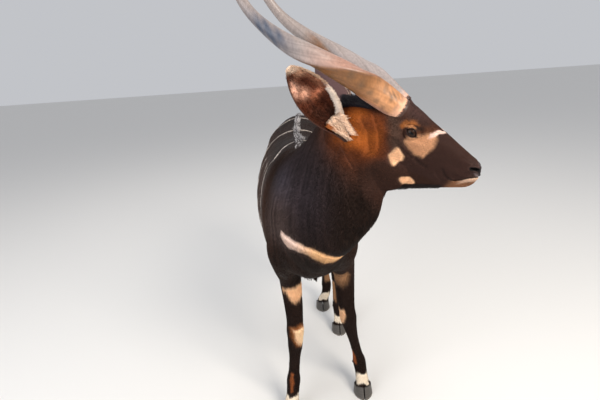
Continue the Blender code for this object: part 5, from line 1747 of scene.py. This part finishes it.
def dewclaw_mesh(fetlock, side_sign):
    """A small tapered spur behind the fetlock."""
    base = Vector(fetlock) + Vector((side_sign * 0.018, 0.030, -0.018))
    tip = base + Vector((side_sign * 0.005, 0.016, -0.026))
    rows = between([(-0.40, 0.0085), (0.0, 0.0105), (0.45, 0.0102), (0.8, 0.0075), (1.0, 0.002)],
                   12)
    rings, shades = [], []
    for share, r in rows:
        middle = base.lerp(tip, share)
        rings.append([middle + Vector((r * across, r * 0.7 * along, 0))
                      for across, along in circle(20)])
        shades += [srgb(66, 62, 62) * (1 + 0.12 * math.sin(share * 25))] * 20
    return painted(rings, shades)


# Eyes

def eye_mesh(side):
    """The eyeball: dark iris, a long level pupil and a brown rim of white."""
    mesh = ball(EYE_RADIUS, 64, 48)
    places = vertex_places(mesh)
    out = places[:, 1] / EYE_RADIUS * HAND[side]
    turn, back = math.cos(EYE_SLANT), math.sin(EYE_SLANT)
    along = (places[:, 0] * turn + places[:, 2] * back) / EYE_RADIUS
    high = (-places[:, 0] * back + places[:, 2] * turn) / EYE_RADIUS
    coat = Coat(srgb(28, 17, 12), len(places))
    away = np.hypot(along, high)
    coat.lay(srgb(42, 24, 15), fall(0.55, 0.74, away) * (out > 0))
    pupil = fall(0.85, 1.05, np.hypot(along / 0.46, high / 0.24))
    coat.lay(srgb(5, 4, 5), pupil * (out > 0))
    coat.lay(srgb(36, 27, 24), ramp(0.80, 0.92, away))
    paint(mesh, coat.colour)
    mesh.shade_smooth()
    return moved(mesh, HEAD @ Matrix.Translation(both(EYE_AT, side)))


# Long hair: the crest, the tassel, the ears' fringes and the beard under the jaw

def locks(roots, outs, lies, lengths, widths, thicks, shades, sheet, bends):
    """Flat tapered locks of ten triangles that leave along `outs` and bend to `lies`."""
    count = len(roots)
    outs, lies = unit(outs), unit(lies)
    sides = np.cross(outs, lies)
    flat = np.linalg.norm(sides, axis=1) < 1e-4
    sides[flat] = (1.0, 0, 0)
    sides = unit(sides)
    lengths = lengths[:, None]
    widths, thicks, bends = (np.broadcast_to(value, (count,))[:, None]
                             for value in (widths, thicks, bends))
    base = roots - outs * LOCK_SUNK
    middle = base + unit(outs + lies * bends * 0.35) * lengths * 0.5
    tip = middle + unit(outs * (1 - bends) + lies * (0.3 + bends)) * lengths * 0.5
    face = unit(np.cross(sides, outs))
    places = np.stack([
        base - sides * widths / 2, base + sides * widths / 2, base + face * thicks,
        middle - sides * widths * 0.42, middle + sides * widths * 0.42, middle + face * thicks,
        tip], axis=1).reshape(-1, 3)
    first = np.arange(count)[:, None] * 7
    order = [(0, 1, 4), (0, 4, 3), (1, 2, 5), (1, 5, 4), (2, 0, 3), (2, 3, 5),
             (3, 4, 6), (4, 5, 6), (5, 3, 6), (0, 2, 1)]
    faces = np.concatenate([first + np.array(tri) for tri in order], axis=1).reshape(-1, 3)
    left, bottom, width, height = SHEETS[sheet]
    spot = roots - roots.min(axis=0)
    spans = np.sort(np.argsort(-np.ptp(roots, axis=0))[:2])
    room = np.maximum(np.ptp(roots, axis=0), 1e-6)
    at = np.c_[left + 0.005 + (width - 0.01) * spot[:, spans[0]] / room[spans[0]],
               bottom + 0.005 + (height - 0.01) * spot[:, spans[1]] / room[spans[1]]]
    corners = np.array(((-0.5, -0.5), (0.5, -0.5), (0, -0.5), (-0.4, 0), (0.4, 0), (0, 0),
                        (0, 0.5))) * PATCH
    maps = (at[:, None, :] + corners).reshape(-1, 2)
    colours = np.repeat(shades, 7, axis=0).reshape(count, 7, 3)
    colours[:, :3] *= 0.7
    colours[:, 6] *= 1.1
    return places, faces, colours.reshape(-1, 3), maps


def head_locks(roots, outs, lies, *rest):
    """Locks that are given in the head's frame."""
    turned = HEAD_TURNED.T
    return locks(roots @ turned + np.array(HEAD_AT), outs @ turned, lies @ turned, *rest)


def varied(shade, count, low, high):
    """One shade for each hair, darker and lighter by chance."""
    return np.tile(shade, (count, 1)) * rng.uniform(low, high, count)[:, None]


# Pale places along the crest: y and reach
CREST_PALE = ((-0.205, 0.022), (-0.135, 0.030), (0.02, 0.05), (0.215, 0.060), (0.40, 0.05),
              (0.56, 0.05))


def crest_hair():
    """The erect hair along the back: pale in places, over dark roots."""
    count = 5200
    rows = between(TRUNK_ROWS, 400)
    y = rng.uniform(-0.345, 0.690, count)
    top = np.interp(y, rows[:, 0], rows[:, 1])
    bend = np.interp(y, rows[:, 0], rows[:, 4])
    x = rng.normal(size=count) * 0.0050
    bend = bend - 0.020 * ramp(-0.14, -0.34, y)
    roots = np.c_[bend + x, y, top - COAT_DEPTH - 0.0015 - np.abs(x) * 0.25]
    outs = np.c_[x * 14 + rng.normal(size=count) * 0.06 - 0.05, np.full(count, 1.0),
                 np.full(count, 0.9)]
    lies = np.c_[x * 12, np.ones(count), np.full(count, 0.05)]
    fade = ramp(-0.35, -0.24, y) * fall(0.60, 0.69, y)
    lengths = (0.022 + 0.022 * fade) * rng.uniform(0.70, 1.08, count)
    pale = sum(np.exp(-((y - at) / wide) ** 2) for at, wide in CREST_PALE)
    pale = 0.40 + 0.60 * np.clip(pale, 0, 1)
    white = (rng.uniform(0, 1, count) < pale * 0.9) & (np.abs(x + 0.002) > 0.0012)
    shades = np.where(white[:, None], srgb(190, 184, 182), srgb(66, 56, 54))
    shades = shades * rng.uniform(0.85, 1.10, count)[:, None]
    return locks(roots, outs, lies, lengths, 0.0036, 0.0015, shades, "crest", 0.90)


def tassel_hair():
    """The dark hair round the end of the tail."""
    count = 2600
    z = rng.uniform(0.720, 0.890, count)
    turn = rng.uniform(0, 2 * math.pi, count)
    rows = between(TAIL_ROWS, 60)
    middle_y = np.interp(z, rows[::-1, 2], (rows[::-1, 1] + rows[::-1, 4]) / 2)
    out = np.c_[np.cos(turn), np.sin(turn), np.zeros(count)]
    roots = np.c_[np.full(count, 0.030), middle_y, z] + out * 0.008
    lengths = rng.uniform(0.085, 0.140, count)
    lengths = np.minimum(lengths, z - 0.622)
    shades = varied(srgb(44, 33, 30), count, 0.7, 1.3)
    lies = np.c_[out[:, :2] * 0.02, np.full(count, -1.0)]
    return locks(roots, out * 0.55 - np.array((0, 0, 1.0)), lies, lengths, 0.0060, 0.0022,
                 shades, "tail", 0.75)


def ear_hair(side, cup):
    """Down in the hollow, the white fringe of the front edge, and the pale tuft at the foot."""
    rings, shares, across = cup
    root, axis, face, wide, length = [np.array(v) if isinstance(v, Vector) else v
                                      for v in ear_frame(side)]
    less = 1
    around = len(rings[0])
    places = np.array([list(point) for ring in rings for point in ring])
    shares = shares.reshape(len(rings), around)
    across = across.reshape(len(rings), around)
    roots, hairs = [], []

    def grow(count, low, high, left, right, reach):
        """Roots on the hollow between two shares of the length and two places across."""
        count //= less
        own = np.nonzero((shares >= low) & (shares <= high) & (across >= left)
                         & (across <= right) & (np.arange(around) >= around // 2))
        pick = rng.integers(0, len(own[0]), count)
        ring, k = own[0][pick], own[1][pick]
        share, over = shares[ring, k], across[ring, k]
        middle = root + axis * (share * length)[:, None]
        point = places[ring * around + k] + rng.normal(size=(count, 3)) * 0.0012
        inward = unit(middle + face * 0.02 - point)
        slide = axis * (rng.uniform(-0.5, 0.5, count) * length / len(rings))[:, None]
        roots.append(point + inward * reach + slide)
        return count, share, over, inward

    def add(out, lie, size, width, shade):
        hairs.append((out, np.broadcast_to(lie, out.shape), size, np.full(len(size), width),
                      shade))

    # The down in the hollow
    count, share, over, inward = grow(5200, 0.22, 0.98, -0.97, 0.93, 0.0)
    add(inward * 0.30 + axis * 0.9 - wide * 0.5 * over[:, None], axis + inward * 0.1,
        rng.uniform(0.008, 0.016, count) * (1.15 - 0.5 * share), 0.0017,
        ear_inside(share, over) * rng.uniform(0.95, 1.35, count)[:, None])
    # The white fringe of the front edge
    foot = 0.06 if side == "right" else 0.42
    count, share, over, inward = grow(3000, foot, 0.56, ear_front(shares, side) - 0.18, 1.0, 0.0)
    add(inward * 0.5 - wide * 0.5 + axis * 0.5 + rng.normal(size=(count, 3)) * 0.22,
        -wide * 0.8 + axis * 0.5 - face * 0.1 + rng.normal(size=(count, 3)) * 0.2,
        rng.uniform(0.007, 0.019, count) * (1.25 - share), 0.0017,
        varied(srgb(246, 228, 212), count, 0.86, 1.04))
    # The short hair of the upper rim
    count, share, over, inward = grow(900, 0.60, 0.99, 0.90, 1.0, 0.0)
    add(inward * 0.3 + axis * 0.6 - wide * 0.3, axis - wide * 0.4,
        rng.uniform(0.004, 0.008, count), 0.0014, varied(srgb(214, 180, 152), count, 0.8, 1.1))
    # The pale tuft at the foot, shorter and less far round on the left
    reach_round, longer = (1.0, 1.0) if side == "right" else (0.3, 0.5)
    count, share, over, inward = grow(4600, -0.08, 0.25, -0.95, reach_round, 0.012)
    warm = ramp(0.13, 0.22, share) * fall(-0.80, -0.35, over)
    fore = ramp(-0.6, 0.5, over)[:, None]
    add(inward * 0.75 - axis * 0.45 + wide * (0.55 * fore - 0.15)
        + rng.normal(size=(count, 3)) * 0.16,
        -axis * (0.9 - 0.3 * fore) + wide * (1.1 * fore - 0.25) + face * 0.15
        + rng.normal(size=(count, 3)) * 0.15,
        rng.uniform(0.016, 0.030, count) * (0.75 + 0.5 * fore[:, 0]) * longer, 0.0026,
        mixed(np.tile(srgb(246, 214, 188), (count, 1)), srgb(180, 106, 56), warm)
        * rng.uniform(0.82, 1.06, count)[:, None])
    outs, lies, sizes, widths, shades = (np.concatenate(values) for values in zip(*hairs))
    return head_locks(np.vstack(roots), outs, lies, sizes, widths, widths * 0.4, shades, "ears",
                      0.6)


def nape_hair():
    """Black mane from between the horns down the back of the neck."""
    count = 3200
    u = rng.uniform(-0.225, -0.095, count)
    v = np.clip(rng.normal(size=count) * 0.026, -0.040, 0.040)
    w = np.interp(u, [-0.225, -0.185, -0.14, -0.095], [-0.020, 0.000, 0.011, 0.034])
    roots = np.c_[u, v, w - v * v * 9]
    outs = np.c_[-0.45 + rng.normal(size=count) * 0.1, v * 14, np.ones(count)]
    lies = np.c_[-np.ones(count), v * 6, np.full(count, 0.15)]
    # Black, with a faint blue of painted sky sheen
    shades = varied(srgb(34, 30, 36), count, 0.7, 1.35)
    return head_locks(roots, outs, lies, rng.uniform(0.020, 0.034, count), 0.0032, 0.0012,
                      shades, "head", 0.6)


def jaw_hair(skin):
    """Dark longer hair under the jaw and down the throat."""
    count = 3000
    local = to_head(skin.centres)
    chosen = (np.abs(local[:, 1]) < 0.017) & (local[:, 0] > -0.12) & (local[:, 0] < 0.165)
    chosen &= (local[:, 2] < -0.105) & (skin.normals[skin.faces[:, 0]][:, 2] < -0.4)
    chosen &= skin.parts == PART_NAMES.index("head")
    places, normals, _ = skin.roots(chosen, count)
    lies = np.tile(np.array((-0.8, 0, -0.9)) @ HEAD_TURNED.T, (count, 1))
    size = 0.012 + 0.014 * fall(0.0, 0.15, to_head(places)[:, 0])
    shades = varied(srgb(34, 26, 24), count, 0.7, 1.3)
    return locks(places, normals + lies * 0.6, lies, size * rng.uniform(0.6, 1.1, count), 0.0024,
                 0.0009, shades, "head", 0.5)


def main():
    """Makes every piece of the animal."""
    # Name, roughness, scale of the bumps and their depth
    fur = node_material("fur", 0.50, 900, 0.0004, shine=0.11)
    hide = node_material("hide", 0.55, 700, 0.0008, shine=0.11)
    ear_finish = node_material("ear_finish", 0.6, 500, 0.0006, shine=0.15)
    horn_finish = node_material("horn_finish", 0.38, 160, 0.0004, shine=0.4, stretch=0.5)
    hoof_finish = node_material("hoof_finish", 0.40, 300, 0.0006, shine=0.3, stretch=3.0)
    eye_finish = node_material("eye_finish", 0.30, 60, 0.0, shine=0.05, coat=0.22)
    mesh = make_skin()
    skin = Skin(mesh)
    paint(mesh, coat_colour(skin.places) * 0.8)
    mesh.shade_smooth()
    layer = mesh.uv_layers.new(name="OFBake")
    corners = np.empty(len(mesh.loops), np.int32)
    mesh.loops.foreach_get("vertex_index", corners)
    centres = np.repeat(skin.centres, 3, axis=0)
    maps = unwrapped(skin.places[corners], np.repeat(skin.parts, 3), centres)
    layer.data.foreach_set("uv", maps.astype(np.float32).ravel())
    flesh = ["head", "neck", "trunk", "tail"]
    flesh += ["%sleg_%s" % (end, side) for end in ("fore", "hind") for side in SIDES]
    make_coats(skin, fur)
    for name, hair in (("crest", crest_hair()), ("tassel", tassel_hair()),
                       ("jaw_hair", jaw_hair(skin)), ("nape_hair", nape_hair())):
        show(fast_mesh(name, *hair), name, fur, "coat")
    show(mesh, "skin", hide, "coat", *flesh)
    for side in SIDES:
        ear, cup = ear_mesh(side)
        show(fast_mesh("ear_hair_" + side, *ear_hair(side, cup)), "ear_hair_" + side, fur,
             "ear_skin")
        show(ear, "ear_skin_" + side, ear_finish, "ear_skin", "ear_" + side)
        show(horn_mesh(side), "horn_sheath_" + side, horn_finish, "horn", "horn_" + side)
        show(eye_mesh(side), "eyeball_" + side, eye_finish, "eye", "eye_" + side)
    for joints, hooves, end in ((FORE_JOINTS, FORE_HOOVES, "fore"),
                                (HIND_JOINTS, HIND_HOOVES, "hind")):
        for side, middle in hooves.items():
            for name, sign in (("inner", 1), ("outer", -1)):
                sign = sign if side == "right" else -sign
                place = "%s_%s_%s" % (end, side, name)
                show(claw_mesh(middle, sign), "claw_" + place, hoof_finish, "hoof",
                     "hoof_" + place)
                show(dewclaw_mesh(joints[side][3], sign), "spur_" + place, hoof_finish, "hoof",
                     "dewclaw_" + place)


# The stage: floor, light and the photograph's camera

FLOOR_SIZE = 30
FLOOR_COLOUR = (0.76, 0.75, 0.73, 1)
SKY_COLOUR = (0.93, 0.95, 1.0, 1)
SKY_STRENGTH = 0.58
# Name, place, size, power in watts and colour
LIGHTS = (("key", (1.9, -3.3, 3.3), 1.8, 185, (1.0, 0.92, 0.82)),
          ("fill", (-2.9, -3.0, 2.3), 3.0, 85, (0.94, 0.96, 1.0)),
          ("back", (-0.6, 2.2, 5.6), 3.0, 90, (1.0, 0.97, 0.93)))
LIT = Vector((0, -0.2, 0.9))     # what the lights point at
CAMERA_AT = Vector((-0.02, -2.10, 1.55))
CAMERA_PITCH = math.radians(17.2)
CAMERA_ROLL = math.radians(4.0)
CAMERA_LENS = 26.7
SENSOR_WIDTH = 36


def make_stage():
    shape = bmesh.new()
    bmesh.ops.create_grid(shape, x_segments=1, y_segments=1, size=FLOOR_SIZE)
    floor = helper(finished(shape, "floor"), "floor")
    made = bpy.data.materials.new("floor_paint")
    made.use_nodes = True
    set_inputs(made.node_tree.nodes["Principled BSDF"],
               {"Base Color": FLOOR_COLOUR, "Roughness": 0.9})
    floor.data.materials.append(made)
    world = bpy.context.scene.world or bpy.data.worlds.new("studio")
    bpy.context.scene.world = world
    world.use_nodes = True
    set_inputs(world.node_tree.nodes["Background"],
               {"Color": SKY_COLOUR, "Strength": SKY_STRENGTH})
    for name, place, size, power_w, warmth in LIGHTS:
        light = bpy.data.lights.new(name, "AREA")
        light.size = size
        light.energy = power_w
        light.color = warmth
        thing = helper(light, name)
        thing.location = place
        aim = LIT - thing.location
        thing.rotation_euler = aim.to_track_quat("-Z", "Y").to_euler()


def make_camera():
    """The photograph's camera, which looks down and leans a little."""
    data = bpy.data.cameras.new("camera")
    data.lens = CAMERA_LENS
    data.sensor_width = SENSOR_WIDTH
    data.sensor_fit = "HORIZONTAL"
    thing = helper(data, "camera")
    ahead = Vector((0, math.cos(CAMERA_PITCH), -math.sin(CAMERA_PITCH)))
    right = Vector((1, 0, 0))
    up = right.cross(ahead)
    tilted_right = right * math.cos(CAMERA_ROLL) - up * math.sin(CAMERA_ROLL)
    tilted_up = up * math.cos(CAMERA_ROLL) + right * math.sin(CAMERA_ROLL)
    turn = Matrix((tilted_right, tilted_up, -ahead)).transposed()
    thing.matrix_world = Matrix.Translation(CAMERA_AT + SHIFT) @ turn.to_4x4()
    bpy.context.scene.camera = thing


bpy.context.scene.view_settings.view_transform = "Standard"
make_stage()
make_camera()
main()
